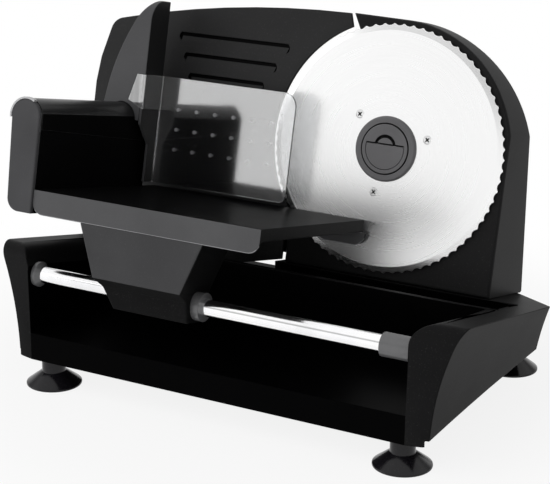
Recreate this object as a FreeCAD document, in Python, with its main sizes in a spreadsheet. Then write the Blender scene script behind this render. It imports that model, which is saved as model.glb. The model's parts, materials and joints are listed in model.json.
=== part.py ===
import FreeCAD, Part
import math
import os
import re
import Sketcher
from FreeCAD import Placement, Rotation, Vector

# A countertop food slicer. The origin is under the middle of the whole machine, on the
# table. X runs along the carriage's rail, Y away from the user, Z up. The blade, the
# fence, the housing and the carriage share an upper frame, which leans back by
# lean_angle and has its origin at the middle of the blade's front face.

LENGTHS = {
    "blade_axis_x": 65.0,
    "blade_axis_y": 55.5,
    "deck_height": 68.87,
    "cut_overrun": 5.0,
    "running_gap": 0.3,
    "shaft_clearance": 0.05,
    "shell_wall": 3.0,
    # Blade
    "blade_radius": 95.0,
    "blade_thickness": 1.5,
    "tooth_depth": 1.4,
    "tooth_scallop": 5.0,
    "bevel_width": 5.0,
    "bevel_edge": 0.4,
    "blade_bore": 22.0,
    "blade_screw_circle": 34.5,
    "blade_screw_head": 3.25,
    "blade_screw_shank": 1.5,
    "screw_cross_width": 0.9,
    "screw_cross_depth": 0.7,
    # Hub and lock
    "hub_radius": 25.0,
    "hub_face": 2.4,
    "hub_bore": 19.7,
    "hub_edge": 1.2,
    "hub_floor_front": 2.0,
    "hub_floor_rear": 4.0,
    "lock_radius": 18.9,
    "lock_face": 2.8,
    "lock_recess": 2.6,
    "lock_stem": 5.8,
    "tab_line_height": 4.0,
    "tab_radius": 16.0,
    "tab_thickness": 2.2,
    "tab_pin_radius": 0.6,
    "tab_pin_drop": 1.4,
    "tab_pin_tail": 1.5,
    "tab_neck": 0.4,
    "scoop_half": 8.6,
    "scoop_height": 6.8,
    "scoop_depth": 1.2,
    "knuckle_half": 6.4,
    "knuckle_height": 4.4,
    # Gear train
    "gear_module": 1.5,
    "gear_front": 8.0,
    "gear_rear": 15.5,
    "gear_flange_radius": 39.0,
    "gear_flange_rear": 6.2,
    "gear_addendum": 1.3,
    "gear_dedendum": 1.8,
    "gear_backlash": 0.35,
    "spindle_radius": 4.0,
    "spindle_rear": 36.0,
    "bush_radius": 8.0,
    "bush_rear": 33.0,
    "plate_front": 18.0,
    "plate_thickness": 3.0,
    "plate_margin": 14.0,
    "plate_post_radius": 4.0,
    "motor_shaft_radius": 3.0,
    "motor_front": 27.0,
    "motor_rear": 61.0,
    "motor_radius": 28.0,
    "motor_air_gap": 0.4,
    "armature_radius": 15.0,
    "motor_bearing_radius": 7.0,
    "motor_bearing_length": 5.0,
    "motor_strut_radius": 2.5,
    "fan_radius": 22.0,
    "fan_thickness": 7.0,
    "fan_disc": 1.5,
    "fan_hub_radius": 6.0,
    "fan_blade_thickness": 1.2,
    # Blade housing
    "housing_front": 3.5,
    "housing_radius": 98.5,
    "housing_right": 96.0,
    "housing_left": 77.0,
    "housing_inner_radius": 92.0,
    "housing_tip_x": 42.5,
    "housing_tip_height": 99.5,
    "housing_tip_drop": 11.5,
    "housing_tip_back": 6.0,
    "housing_flat_end": 4.0,
    "housing_rear": 105.5,
    "housing_rounding": 2.6,
    "housing_hole_radius": 41.0,
    # Motor cover
    "cover_rear": 132.67,
    "cover_plate": 3.0,
    "cover_inset": 0.6,
    "bulge_left": 7.0,
    "bulge_right": 149.0,
    "bulge_bottom": 66.0,
    "bulge_top": 182.0,
    "bulge_corner": 18.0,
    "bulge_rounding": 7.0,
    "bulge_wall": 2.5,
    "vent_width": 60.0,
    "vent_height": 4.0,
    "vent_pitch": 9.0,
    "vent_bottom": 130.0,
    "cover_screw_head": 3.6,
    "cover_screw_shank": 1.7,
    "cover_screw_length": 14.0,
    "cover_screw_inset": 7.2,
    "cover_boss_length": 16.0,
    "cover_boss_radius": 4.5,
    "switch_x": 40.0,
    "switch_height": 96.0,
    "switch_width": 15.0,
    "switch_tall": 21.0,
    "switch_depth": 13.0,
    "switch_rim": 1.6,
    "rocker_width": 9.4,
    "rocker_tall": 15.0,
    "rocker_proud": 2.6,
    "rocker_sunk": 5.0,
    "rocker_pin_radius": 1.2,
    "inlet_x": 118.0,
    "inlet_height": 82.0,
    "inlet_radius": 6.0,
    "inlet_bore": 3.4,
    "inlet_flange": 8.5,
    "inlet_flange_thickness": 2.0,
    # Fence
    "fence_front": 2.5,
    "fence_thickness": 3.0,
    "fence_left": 269.6,
    "fence_bottom": 98.0,
    "fence_tongue_drop": 8.5,
    "fence_tongue_left": 190.0,
    "fence_tongue_right": 114.0,
    "fence_side_top": 21.0,
    "fence_shoulder_x": 267.0,
    "fence_shoulder_height": 42.0,
    "fence_corner_x": 258.0,
    "fence_corner_height": 73.5,
    "fence_corner_rounding": 13.0,
    "fence_top_height": 99.0,
    "fence_top_x": 44.0,
    "fence_top_radius": 863.0,
    "fence_mouth_radius": 97.7,
    "fence_mouth_top_x": 41.0,
    "fence_mouth_foot": 57.5,
    "fence_foot_rounding": 8.0,
    "groove_depth": 1.6,
    "groove_width": 7.0,
    "groove_floor": 2.8,
    "groove_end_radius": 4.2,
    "groove_top_height": 66.0,
    "groove_pitch": 16.0,
    "groove_left": 192.0,
    "groove_left_step": 6.0,
    "groove_right": 95.0,
    "groove_right_step": 9.5,
    "rod_radius": 4.0,
    "rod_front": 6.0,
    "rod_rear": 64.0,
    "rod_left_x": 124.0,
    "rod_right_x": 90.0,
    "rod_drop": 64.0,
    "rod_clearance": 0.06,
    "guide_left": 135.0,
    "guide_front": 24.0,
    "guide_rear": 66.0,
    "guide_top": 52.0,
    "guide_bottom": 95.0,
    "guide_rounding": 3.0,
    "knob_x": 107.0,
    "knob_drop": 80.0,
    "knob_radius": 18.0,
    "knob_front": 66.5,
    "knob_rear": 82.0,
    "knob_rounding": 2.0,
    "knob_groove_radius": 1.3,
    "knob_shaft_radius": 4.0,
    "knob_shaft_front": 19.5,
    "knob_spiral_radius": 6.0,
    "knob_spiral_rear": 23.5,
    # Base
    "base_middle_x": 16.0,
    "deck_drop": 100.0,
    "ridge_half_front": 189.8,
    "ridge_half_rear": 183.8,
    "ridge_front_reach": 200.0,
    "ridge_rear_reach": 110.0,
    "side_radius": 212.0,
    "side_height": 89.0,
    "side_inset": 19.6,
    "base_front": 124.5,
    "base_bottom": 21.0,
    "skirt_bottom": 26.0,
    "skirt_step": 121.5,
    "well_half": 154.3,
    "well_shift": 1.8,
    "well_shoulder": 18.0,
    "well_floor": 42.5,
    "rib_front": 10.5,
    "rib_thickness": 6.0,
    "seat_front": 34.5,
    "seat_left": 84.0,
    "corner_cut": 49.8,
    "pillar_setback": 8.0,
    "pillar_rounding": 11.0,
    "boss_radius": 7.0,
    "base_plate_thickness": 2.5,
    "base_plate_gap": 0.4,
    # Feet
    "cup_radius": 21.0,
    "cup_rim": 1.4,
    "cup_height": 10.5,
    "cup_neck": 9.0,
    "cup_hollow": 5.0,
    "cup_lip": 2.5,
    "foot_front": 111.0,
    "foot_rear": 89.6,
    "foot_spread": 145.5,
    "foot_screw_radius": 2.0,
    "foot_screw_head": 4.0,
    "foot_screw_head_height": 2.4,
    "foot_screw_top": 37.0,
    # Slide rail
    "rail_radius": 6.25,
    "rail_y": 112.5,
    "rail_rise": 17.03,
    "rail_tail": 5.0,
    "collar_radius": 8.5,
    "collar_length": 23.0,
    "cup_collar_radius": 9.5,
    "cup_collar_length": 6.0,
    "collar_grip": 0.1,
    # Carriage
    "tray_top": 56.0,
    "tray_left": 198.5,
    "tray_right": 8.5,
    "tray_front": 170.0,
    "tray_rear": 4.0,
    "tray_thickness": 2.0,
    "apron_drop": 74.0,
    "apron_thickness": 2.4,
    "skirt_drop": 9.0,
    "rear_apron_left": 48.0,
    "rear_apron_right": 6.0,
    "rear_apron_drop": 76.0,
    "tray_corner": 9.0,
    "wall_left": 223.5,
    "wall_rear": 22.0,
    "wall_bottom": 74.0,
    "wall_top": 3.5,
    "cap_front": 172.0,
    "cap_thickness": 3.2,
    "hood_radius": 13.0,
    "hood_wall": 2.0,
    "hood_rear": 30.0,
    "hood_skirt_front": 9.0,
    "hood_skirt_rear": 16.5,
    "hood_x": 211.0,
    "cap_corner": 10.0,
    "cap_taper": 3.0,
    "cap_rim": 1.2,
    "bracket_top_left": 156.0,
    "bracket_top_right": 52.5,
    "bracket_foot_left": 128.0,
    "bracket_foot_right": 65.0,
    "bracket_waist_left": 140.8,
    "bracket_waist_right": 66.3,
    "bracket_waist": 111.5,
    "bracket_bottom": 133.0,
    "bracket_front": 170.0,
    "bracket_rear": 128.0,
    "bracket_nose_drop": 118.0,
    "bracket_foot_front": 158.0,
    "bracket_foot_rear": 131.0,
    "bracket_wall": 3.0,
    "bracket_rounding": 1.6,
    "bush_ring_radius": 10.5,
    "bush_length": 14.0,
    "bush_proud": 5.5,
    "bush_clearance": 0.08,
    "glide_left": 152.0,
    "glide_right": 126.0,
    "glide_overlap": 2.0,
    "glide_wall": 3.0,
    # Pusher
    "handle_front": 46.0,
    "handle_rear": 20.0,
    "handle_right": 191.6,
    "handle_left": 229.0,
    "handle_top_left": 191.5,
    "handle_top": 91.7,
    "handle_bend": 17.0,
    "handle_rake_radius": 177.0,
    "handle_edge": 0.8,
    "strip_thickness": 2.4,
    "strip_drop": 6.0,
    "strip_foot_front": 32.0,
    "strip_slant": 16.0,
    "flange_thickness": 1.2,
    "flange_bottom": 6.0,
    "return_top_left": 6.9,
    "return_foot_left": 13.0,
    "return_foot_height": 12.0,
    "guard_right": 70.0,
    "guard_front": 21.0,
    "guard_thickness": 2.0,
    "guard_top": 33.0,
    "guard_bottom": 52.0,
    "guard_corner": 11.0,
    "guard_corner_low": 6.0,
    "spike_left": 174.5,
    "spike_pitch": 16.8,
    "spike_top": 8.0,
    "spike_row_pitch": 16.0,
    "spike_radius": 1.5,
    "spike_length": 5.0,
    "spike_tip": 0.25,
    "spike_root": 0.8,
}

ANGLES = {
    "lean_angle": 13.0,
    "gear_pressure_angle": 20.0,
}

COUNTS = {
    "tooth_count": 75,
    "gear_teeth": 48,
    "pinion_teeth": 10,
    "fan_blade_count": 9,
    "knob_groove_count": 18,
    "spike_columns": 6,
    "spike_rows": 3,
    "groove_count": 3,
    "vent_count": 5,
}

# Sizes that follow from others: the blade's middle stands over the deck, as the rail does
DERIVED = {
    "blade_axis_height": "deck_height + deck_drop / cos(lean_angle)",
    "rail_height": "deck_height + rail_rise",
}

# The three blade screws and the cover's upper screws, by their angle from the X axis
CROSS_TURN = 45
SCREW_ANGLES = (137.0, 18.5, 260.0)
COVER_SCREW_ANGLES = (40.0, 95.0, 150.0)

doc = FreeCAD.newDocument("food_slicer")
sheet = doc.addObject("Spreadsheet::Sheet", "sizes")
nodes = []


def fill_sheet():
    """Write each size beside its name: a plain number, or a formula for a derived size."""
    rows = [item for group in (LENGTHS, ANGLES, COUNTS) for item in group.items()]
    rows += [(name, "=" + formula) for name, formula in DERIVED.items()]
    for row, (name, value) in enumerate(rows, 1):
        sheet.set(f"A{row}", name)
        sheet.set(f"B{row}", str(value))
        sheet.setAlias(f"B{row}", name)
    doc.recompute()


def ex(text):
    """Point every size name in an expression at its cell of the sheet."""
    return re.sub(r"[a-z]+(?:_[a-z]+)+", lambda word: "sizes." + word.group(0), text)


def num(text):
    """Work out an expression in size names."""
    value = sheet.evalExpression(ex(text))
    return float(getattr(value, "Value", value))


def nums(*texts):
    return [num(text) for text in texts]


# Frames

def upper(x="0", y="0", z="0"):
    """Give the placement of a point of the leaning upper frame."""
    lean = Rotation(Vector(1, 0, 0), -num("lean_angle"))
    middle = Vector(*nums("blade_axis_x", "blade_axis_y", "blade_axis_height"))
    return Placement(middle + lean.multVec(Vector(*nums(x, y, z))), lean)


def level(x="0", y="0", z="0"):
    """Give the placement of a point of the table's own frame."""
    return Placement(Vector(*nums(x, y, z)), Rotation())


def lean_point(y, z):
    """Turn a side-view point over the table into the upper frame's Y and Z."""
    lean = math.radians(num("lean_angle"))
    back = y - num("blade_axis_y")
    up = z - num("blade_axis_height")
    return back * math.cos(lean) - up * math.sin(lean), back * math.sin(lean) + up * math.cos(lean)


# Part primitives and booleans, bound to the sheet

def fuse(name, *parts):
    union = doc.addObject("Part::MultiFuse", name)
    union.Shapes = list(parts)
    union.Refine = True
    return union


def cut(name, base, *tools):
    difference = doc.addObject("Part::Cut", name)
    difference.Base = base
    difference.Tool = tools[0] if len(tools) == 1 else fuse(name + "_tools", *tools)
    difference.Refine = True
    return difference


def keep(thing, label, place):
    """Name a finished sub-part and put it in its place."""
    thing.Label = label
    thing.Placement = place
    nodes.append(thing)
    return thing


def feature(label, shape, place):
    """Keep a shape made with Part's own functions as a sub-part."""
    thing = doc.addObject("Part::Feature", label)
    thing.Shape = shape
    return keep(thing, label, place)


# Bodies made of sketches and features

def new_body(label, place):
    body = doc.addObject("PartDesign::Body", label)
    return keep(body, label, place)


def attach(body, sketch, role, offset):
    """Put a sketch on an origin plane of its body, moved along the plane's normal."""
    sketch.AttachmentSupport = ([item for item in body.Origin.OriginFeatures if item.Role == role][0], [""])
    sketch.MapMode = "FlatFace"
    sketch.setExpression("AttachmentOffset.Base.z", ex(offset))
    sketch.AttachmentOffset = Placement(Vector(0, 0, num(offset)), Rotation())


def pin_point(sketch, index, position, x, y):
    """Bind one point of a sketch to two expressions."""
    for kind, text in (("DistanceX", x), ("DistanceY", y)):
        number = sketch.addConstraint(Sketcher.Constraint(kind, -1, 1, index, position, num(text)))
        sketch.setExpression(f"Constraints[{number}]", ex(text))


def arc_middle(start, end, radius):
    """Find the centre of an arc: on the left of its chord when the radius is positive."""
    chord = end - start
    half = chord.Length / 2
    rise = math.sqrt(max(radius * radius - half * half, 0))
    left = Vector(-chord.y, chord.x, 0).normalize()
    return start + chord / 2 + left * (rise if radius > 0 else -rise)


def outline(sketch, points):
    """Draw a closed outline. A point is (x, y), or (x, y, radius) where an arc follows it."""
    corners = [Vector(num(point[0]), num(point[1]), 0) for point in points]
    ends = []
    for place, point in enumerate(points):
        start = corners[place]
        end = corners[(place + 1) % len(points)]
        if len(point) == 2:
            index = sketch.addGeometry(Part.LineSegment(start, end))
            ends.append((index, 1, 2))
            continue
        radius = num(point[2])
        middle = arc_middle(start, end, radius)
        first, last = (start, end) if radius > 0 else (end, start)
        turns = [math.atan2(corner.y - middle.y, corner.x - middle.x) for corner in (first, last)]
        circle = Part.Circle(middle, Vector(0, 0, 1), abs(radius))
        index = sketch.addGeometry(Part.ArcOfCircle(circle, turns[0], turns[1]))
        number = sketch.addConstraint(Sketcher.Constraint("Radius", index, abs(radius)))
        sketch.setExpression(f"Constraints[{number}]", ex(f"abs({point[2]})"))
        ends.append((index, 1, 2) if radius > 0 else (index, 2, 1))
    for place, (index, start, end) in enumerate(ends):
        following = ends[(place + 1) % len(ends)]
        sketch.addConstraint(Sketcher.Constraint("Coincident", index, end, following[0], following[1]))
        pin_point(sketch, index, start, points[place][0], points[place][1])


def ring(sketch, x, y, radius):
    """Draw a circle."""
    middle = Vector(num(x), num(y), 0)
    index = sketch.addGeometry(Part.Circle(middle, Vector(0, 0, 1), num(radius)))
    number = sketch.addConstraint(Sketcher.Constraint("Radius", index, num(radius)))
    sketch.setExpression(f"Constraints[{number}]", ex(radius))
    pin_point(sketch, index, 3, x, y)


def draw(body, role, offset, loops):
    """Make a sketch of outlines and circles on a plane of a body."""
    sketch = body.newObject("Sketcher::SketchObject", body.Name + "_sketch")
    attach(body, sketch, role, offset)
    for loop in loops:
        if loop[0] == "ring":
            ring(sketch, *loop[1:])
        else:
            outline(sketch, loop)
    return sketch


def pad(body, axis, start, end, *loops):
    """Raise outlines along an axis from one place to another."""
    role = {"x": "YZ_Plane", "y": "XZ_Plane", "z": "XY_Plane"}[axis]
    offset = f"-({start})" if axis == "y" else start
    raised = body.newObject("PartDesign::Pad", body.Name + "_pad")
    raised.Profile = draw(body, role, offset, loops)
    raised.Reversed = axis == "y"
    raised.setExpression("Length", ex(f"({end}) - ({start})"))
    doc.recompute()
    return raised


def pocket(body, axis, start, end, *loops):
    """Cut outlines along an axis from one place to another, and check that it cut."""
    role = {"x": "YZ_Plane", "y": "XZ_Plane", "z": "XY_Plane"}[axis]
    before = body.Shape.Volume
    offset = f"-({start})" if axis == "y" else end
    sunk = body.newObject("PartDesign::Pocket", body.Name + "_pocket")
    sunk.Profile = draw(body, role, offset, loops)
    sunk.setExpression("Length", ex(f"({end}) - ({start})"))
    doc.recompute()
    if body.Shape.Volume >= before:
        raise RuntimeError(f"{body.Label}: a pocket cut nothing")
    return sunk


def turn(body, role, axis, *loops, groove=False):
    """Turn outlines about an axis of their sketch."""
    kind = "PartDesign::Groove" if groove else "PartDesign::Revolution"
    before = body.Shape.Volume if groove else 0
    turned = body.newObject(kind, body.Name + "_turned")
    sketch = draw(body, role, "0", loops)
    turned.Profile = sketch
    turned.ReferenceAxis = (sketch, [axis])
    turned.Angle = 360
    doc.recompute()
    if groove and body.Shape.Volume >= before:
        raise RuntimeError(f"{body.Label}: a groove cut nothing")
    return turned


def polar(body, item, count, role):
    """Repeat a feature about an origin axis of its body."""
    pattern = body.newObject("PartDesign::PolarPattern", body.Name + "_pattern")
    pattern.Originals = [item]
    pattern.Axis = ([part for part in body.Origin.OriginFeatures if part.Role == role][0], [""])
    pattern.Angle = 360
    pattern.setExpression("Occurrences", ex(count))
    body.Tip = pattern
    doc.recompute()
    return pattern


def round_edges(body, radius, wanted):
    """Round those edges of a body that a test on their middle point picks."""
    edges = [f"Edge{number + 1}" for number, edge in enumerate(body.Shape.Edges)
             if wanted(body.Placement.inverse().multVec(edge.CenterOfMass), edge)]
    if not edges:
        raise RuntimeError(f"{body.Label}: no edge to round")
    base = body.Tip
    rounded = body.newObject("PartDesign::Fillet", body.Name + "_rounding")
    rounded.Base = (base, edges)
    rounded.setExpression("Radius", ex(radius))
    body.Tip = rounded
    doc.recompute()
    return rounded


def runs_along(edge, place, axis):
    """Tell whether a straight edge runs along an axis of a body's own frame."""
    if len(edge.Vertexes) != 2 or edge.Curve.TypeId != "Part::GeomLine":
        return False
    direction = place.Rotation.inverted().multVec(edge.Vertexes[1].Point - edge.Vertexes[0].Point)
    return abs(direction.normalize().dot(axis)) > 0.999


# Part's own functions, for shapes that neither of the above fits

def face(points, plane, offset):
    """Make a flat face from corner points; a point with a third value is an arc's way point."""
    lift = {"xz": lambda u, v: Vector(u, offset, v), "yz": lambda u, v: Vector(offset, u, v),
            "xy": lambda u, v: Vector(u, v, offset)}[plane]
    edges = []
    corners = points + points[:1]
    start = corners[0]
    way = None
    for point in corners[1:]:
        if len(point) == 3:
            way = point
            continue
        if way:
            edges.append(Part.Arc(lift(*start), lift(*way[:2]), lift(*point)).toShape())
        else:
            edges.append(Part.LineSegment(lift(*start), lift(*point)).toShape())
        start = point
        way = None
    return Part.Face(Part.Wire(edges))


def prism(points, plane, start, end):
    """Extrude an outline between two places along the axis square to its plane."""
    axis = {"xz": Vector(0, 1, 0), "yz": Vector(1, 0, 0), "xy": Vector(0, 0, 1)}[plane]
    return face(points, plane, start).extrude(axis * (end - start))


def slab(low, high):
    """Make a box between two corners."""
    return Part.makeBox(high[0] - low[0], high[1] - low[1], high[2] - low[2], Vector(*low))


def rounded_plan(across, along, radius, height):
    """Make a level rectangle with rounded corners from its limits in x and in y."""
    turn_share = 1 - math.sqrt(0.5)
    points = []
    for x, y, x_step, y_step, first_along in ((across[0], along[0], 1, 1, True),
                                              (across[1], along[0], -1, 1, False),
                                              (across[1], along[1], -1, -1, True),
                                              (across[0], along[1], 1, -1, False)):
        ends = [(x, y + y_step * radius), (x + x_step * radius, y)]
        way = (x + x_step * radius * turn_share, y + y_step * radius * turn_share, 0)
        points += [ends[0], way, ends[1]] if first_along else [ends[1], way, ends[0]]
    return face(points, "xy", height)


def gear_corners(teeth, phase):
    """List the corners of a spur gear with involute flanks."""
    module, addendum, dedendum, backlash = nums("gear_module", "gear_addendum", "gear_dedendum",
                                                "gear_backlash")
    pitch = module * teeth / 2
    base = pitch * math.cos(math.radians(num("gear_pressure_angle")))
    root = pitch - dedendum
    tip = pitch + addendum
    involute = math.tan(math.radians(num("gear_pressure_angle"))) - math.radians(num("gear_pressure_angle"))
    half_pitch_angle = math.pi / teeth / 2 - backlash / pitch / 2
    corners = []
    radii = [max(root, base) + (tip - max(root, base)) * share for share in (0, 0.35, 0.7, 1)]
    for tooth in range(teeth):
        middle = 2 * math.pi * tooth / teeth + phase
        flank = []
        for radius in radii:
            roll = math.acos(min(1, base / radius))
            flank.append((radius, half_pitch_angle + involute - (math.tan(roll) - roll)))
        if root < base:
            flank.insert(0, (root, flank[0][1]))
        side = [(radius, middle - angle) for radius, angle in flank]
        side += [(radius, middle + angle) for radius, angle in reversed(flank)]
        corners += [(radius * math.cos(angle), radius * math.sin(angle)) for radius, angle in side]
    return corners


fill_sheet()


# Base

def ridge_section(half, depth, inset):
    """Draw a section of the base: flat deck, sides curving in to a straight skirt."""
    drop, radius, height = nums("deck_drop", "side_radius", "side_height")
    top = -drop - inset
    foot = -drop - height
    low = half - num("side_inset")
    middle_height = (top + foot) / 2
    way = low + radius - math.sqrt(radius ** 2 - (middle_height - foot) ** 2)
    edge = low + radius - math.sqrt(radius ** 2 - (top - foot) ** 2)
    return [(-edge, top), (edge, top), (way, middle_height, "way"), (low, foot), (low, -depth),
            (-low, -depth), (-low, foot), (-way, middle_height, "way")]


def base_outer(inset):
    """Make the base's outer form, or with an inset the hollow inside it."""
    overrun = num("cut_overrun")
    depth = num("deck_drop + side_height + blade_axis_height")
    sections = []
    for name, along in (("ridge_half_front", "-ridge_front_reach"), ("ridge_half_rear", "ridge_rear_reach")):
        points = ridge_section(num(name) - inset, depth, inset)
        sections.append(face(points, "xz", num(along)).OuterWire)
    form = Part.makeLoft(sections, True, True)
    front, rear, bottom, skirt, step = nums("-base_front", "housing_rear", "base_bottom", "skirt_bottom",
                                            "-skirt_step")
    top = num("blade_axis_height")
    side = [(front + inset, top), (front + inset, bottom), (step, bottom), (step, skirt),
            (rear - inset, skirt), (rear - inset, top)]
    if inset:
        side = [(front + inset, top), (front + inset, bottom - overrun), (rear - inset, bottom - overrun),
                (rear - inset, top)]
    wide = num("ridge_half_front + cut_overrun")
    form = form.common(prism([lean_point(*point) for point in side], "yz", -wide, wide))
    form.Placement = upper("base_middle_x - blade_axis_x")
    return form.common(base_plan(inset))


def base_plan(inset):
    """Make the upright prism that sets the base's outline seen from above."""
    front, rear, middle, shift, well, cut_off, setback, side = nums(
        "-base_front", "housing_rear", "base_middle_x", "-well_shift", "well_half", "corner_cut",
        "pillar_setback", "ridge_half_front")
    corner = rear - cut_off - inset * (math.sqrt(2) - 1)
    right = middle + side - inset
    left = middle - side + inset
    front += inset
    points = [(middle + shift - well, front), (middle + shift + well, front), (right, front + setback),
              (right, corner), (right - rear + inset + corner, rear - inset),
              (left + rear - inset - corner, rear - inset), (left, corner), (left, front + setback)]
    return prism(points, "xy", 0, num("blade_axis_height"))


def well_shape(growth):
    """Make the space between the pillars: the well, the trough and the low floor at the left."""
    drop, half, shift, shoulder = nums("deck_drop", "well_half", "-well_shift", "well_shoulder")
    depth = num("deck_drop + side_height + blade_axis_height")
    right = shift + half + growth
    left = shift - half - growth
    bend = shoulder - growth
    slant = bend * (1 - math.sqrt(0.5))
    top = -drop - growth
    high = -drop + num("side_height")
    profile = [(right, -depth), (right, top - bend), (right + slant, top - slant, "way"),
               (right + bend, top), (right + bend, high), (left - bend, high), (left - bend, top),
               (left - slant, top - slant, "way"), (left, top - bend), (left, -depth)]
    reach = num("base_front + housing_rear + blade_axis_height")
    channel = prism(profile, "xz", -reach, reach)
    channel.Placement = upper("base_middle_x - blade_axis_x")
    front, rib, rib_rear, seat, rear, seat_left, floor, top, middle = nums(
        "-base_front - cut_overrun", "-rib_front", "-rib_front + rib_thickness", "seat_front",
        "housing_rear + cut_overrun", "blade_axis_x - seat_left", "well_floor", "blade_axis_height",
        "base_middle_x")
    wide = num("ridge_half_front + cut_overrun")
    spaces = [slab((middle - wide, front, floor - growth), (middle + wide, rib + growth, top)),
              slab((middle - wide, rib_rear - growth, floor - growth), (middle + wide, seat + growth, top)),
              slab((middle - wide, rib_rear - growth, floor - growth), (seat_left + growth, rear, top))]
    return channel.common(spaces[0].fuse(spaces[1:]).removeSplitter())


def foot_places():
    """List the middles of the four suction feet."""
    middle, spread, front, rear = nums("base_middle_x", "foot_spread", "-foot_front", "foot_rear")
    return [(middle - spread, front), (middle + spread, front), (middle - spread, rear),
            (middle + spread, rear)]


def round_pillars(form, radius):
    """Round the front top edges of the base's ends, where the pillars' tops turn down."""
    low, front, deep, wide = nums("rail_height", "-base_front + pillar_setback + cut_overrun + shell_wall",
                                  "cup_radius", "cup_neck")
    edges = [edge for edge in form.Edges
             if edge.CenterOfMass.z > low and edge.CenterOfMass.y < front
             and edge.BoundBox.ZLength < deep and edge.BoundBox.XLength > wide]
    return form.makeFillet(radius, edges)


def make_base_frame():
    """Moulded base: two pillars, a low well between them and a raised seat for the housing."""
    wall, floor, middle = nums("shell_wall", "skirt_bottom + base_plate_thickness", "base_middle_x")
    outer = round_pillars(base_outer(0), num("pillar_rounding"))
    hollow = round_pillars(base_outer(wall), num("pillar_rounding") - wall).cut(well_shape(wall))
    bosses = []
    holes = []
    for x, y in foot_places():
        top = num("foot_screw_top")
        start = Vector(x, y, floor)
        bosses.append(Part.makeCylinder(num("boss_radius"), num("deck_drop"), start))
        holes.append(Part.makeCylinder(num("foot_screw_radius"), top - floor, start))
    hollow = hollow.cut(bosses)
    shape = outer.cut(well_shape(0)).cut(hollow)
    tail = num("rail_tail + shell_wall")
    left = middle - num("well_half + well_shift") - tail
    hole = Part.makeCylinder(num("rail_radius + collar_grip"), num("well_half * 2") + 2 * tail,
                             Vector(left, num("-rail_y"), num("rail_height")), Vector(1, 0, 0))
    return feature("base_frame", shape.cut([hole] + holes).removeSplitter(), level())


def make_base_plate():
    """Flat plate that closes the base from below, under the four bosses."""
    bottom, top, gap = nums("skirt_bottom", "skirt_bottom + base_plate_thickness", "base_plate_gap")
    hollow = base_outer(num("shell_wall") + gap)
    wide = num("ridge_half_front")
    middle, front, rear = nums("base_middle_x", "-base_front", "housing_rear")
    plate = hollow.common(slab((middle - wide, front, bottom), (middle + wide, rear, top)))
    for x, y in foot_places():
        plate = plate.cut(Part.makeCylinder(num("foot_screw_radius"), num("deck_drop"), Vector(x, y, 0)))
    feature("base_plate", plate.removeSplitter(), level())


def make_feet():
    """Four suction feet: a wide soft cup, a cone and a neck that meets the plate."""
    names = ("foot_front_left", "foot_front_right", "foot_rear_left", "foot_rear_right")
    for name, (x, y) in zip(names, foot_places()):
        body = doc.addObject("PartDesign::Body", name)
        keep(body, name, Placement(Vector(x, y, 0), Rotation()))
        turn(body, "XZ_Plane", "V_Axis", [
            ("foot_screw_radius", "cup_hollow"), ("cup_neck", "cup_hollow"),
            ("cup_radius - cup_lip", "0"), ("cup_radius", "0"), ("cup_radius", "cup_rim"),
            ("cup_neck", "cup_height"), ("cup_neck", "skirt_bottom"),
            ("foot_screw_radius", "skirt_bottom")])


def make_foot_screws():
    """Four screws up through the feet and the plate into the bosses."""
    screws = []
    for x, y in foot_places():
        top, under, head, shank = nums("foot_screw_top", "cup_hollow", "foot_screw_head",
                                       "foot_screw_radius")
        height = num("foot_screw_head_height")
        cap = Part.makeCylinder(head, height, Vector(x, y, under - height))
        screws.append(cap.fuse(Part.makeCylinder(shank, top - under, Vector(x, y, under))))
    feature("foot_screws", Part.makeCompound(screws), level())


# Slide rail

def make_rail():
    """Chromed rail between the pillars, with its two collars."""
    body = new_body("slide_rail", level("0", "-rail_y", "rail_height"))
    left = "base_middle_x - well_shift - well_half"
    right = "base_middle_x - well_shift + well_half"
    turn(body, "XY_Plane", "H_Axis", [
        (f"{left} - rail_tail", "0"), (f"{right} + rail_tail", "0"),
        (f"{right} + rail_tail", "rail_radius"), (f"{left} - rail_tail", "rail_radius")])
    body = new_body("rail_collar_right", level("0", "-rail_y", "rail_height"))
    turn(body, "XY_Plane", "H_Axis", [
        (f"{right} - collar_length", "rail_radius"), (f"{right}", "rail_radius"),
        (f"{right}", "collar_radius"), (f"{right} - collar_length", "collar_radius")])
    body = new_body("rail_collar_left", level("0", "-rail_y", "rail_height"))
    turn(body, "XY_Plane", "H_Axis", [
        (f"{left}", "rail_radius"), (f"{left} + cup_collar_length", "rail_radius"),
        (f"{left} + cup_collar_length", "rail_radius + collar_grip * 3"),
        (f"{left} + cup_collar_length / 2", "cup_collar_radius"), (f"{left}", "cup_collar_radius")])


# Blade and hub

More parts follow.
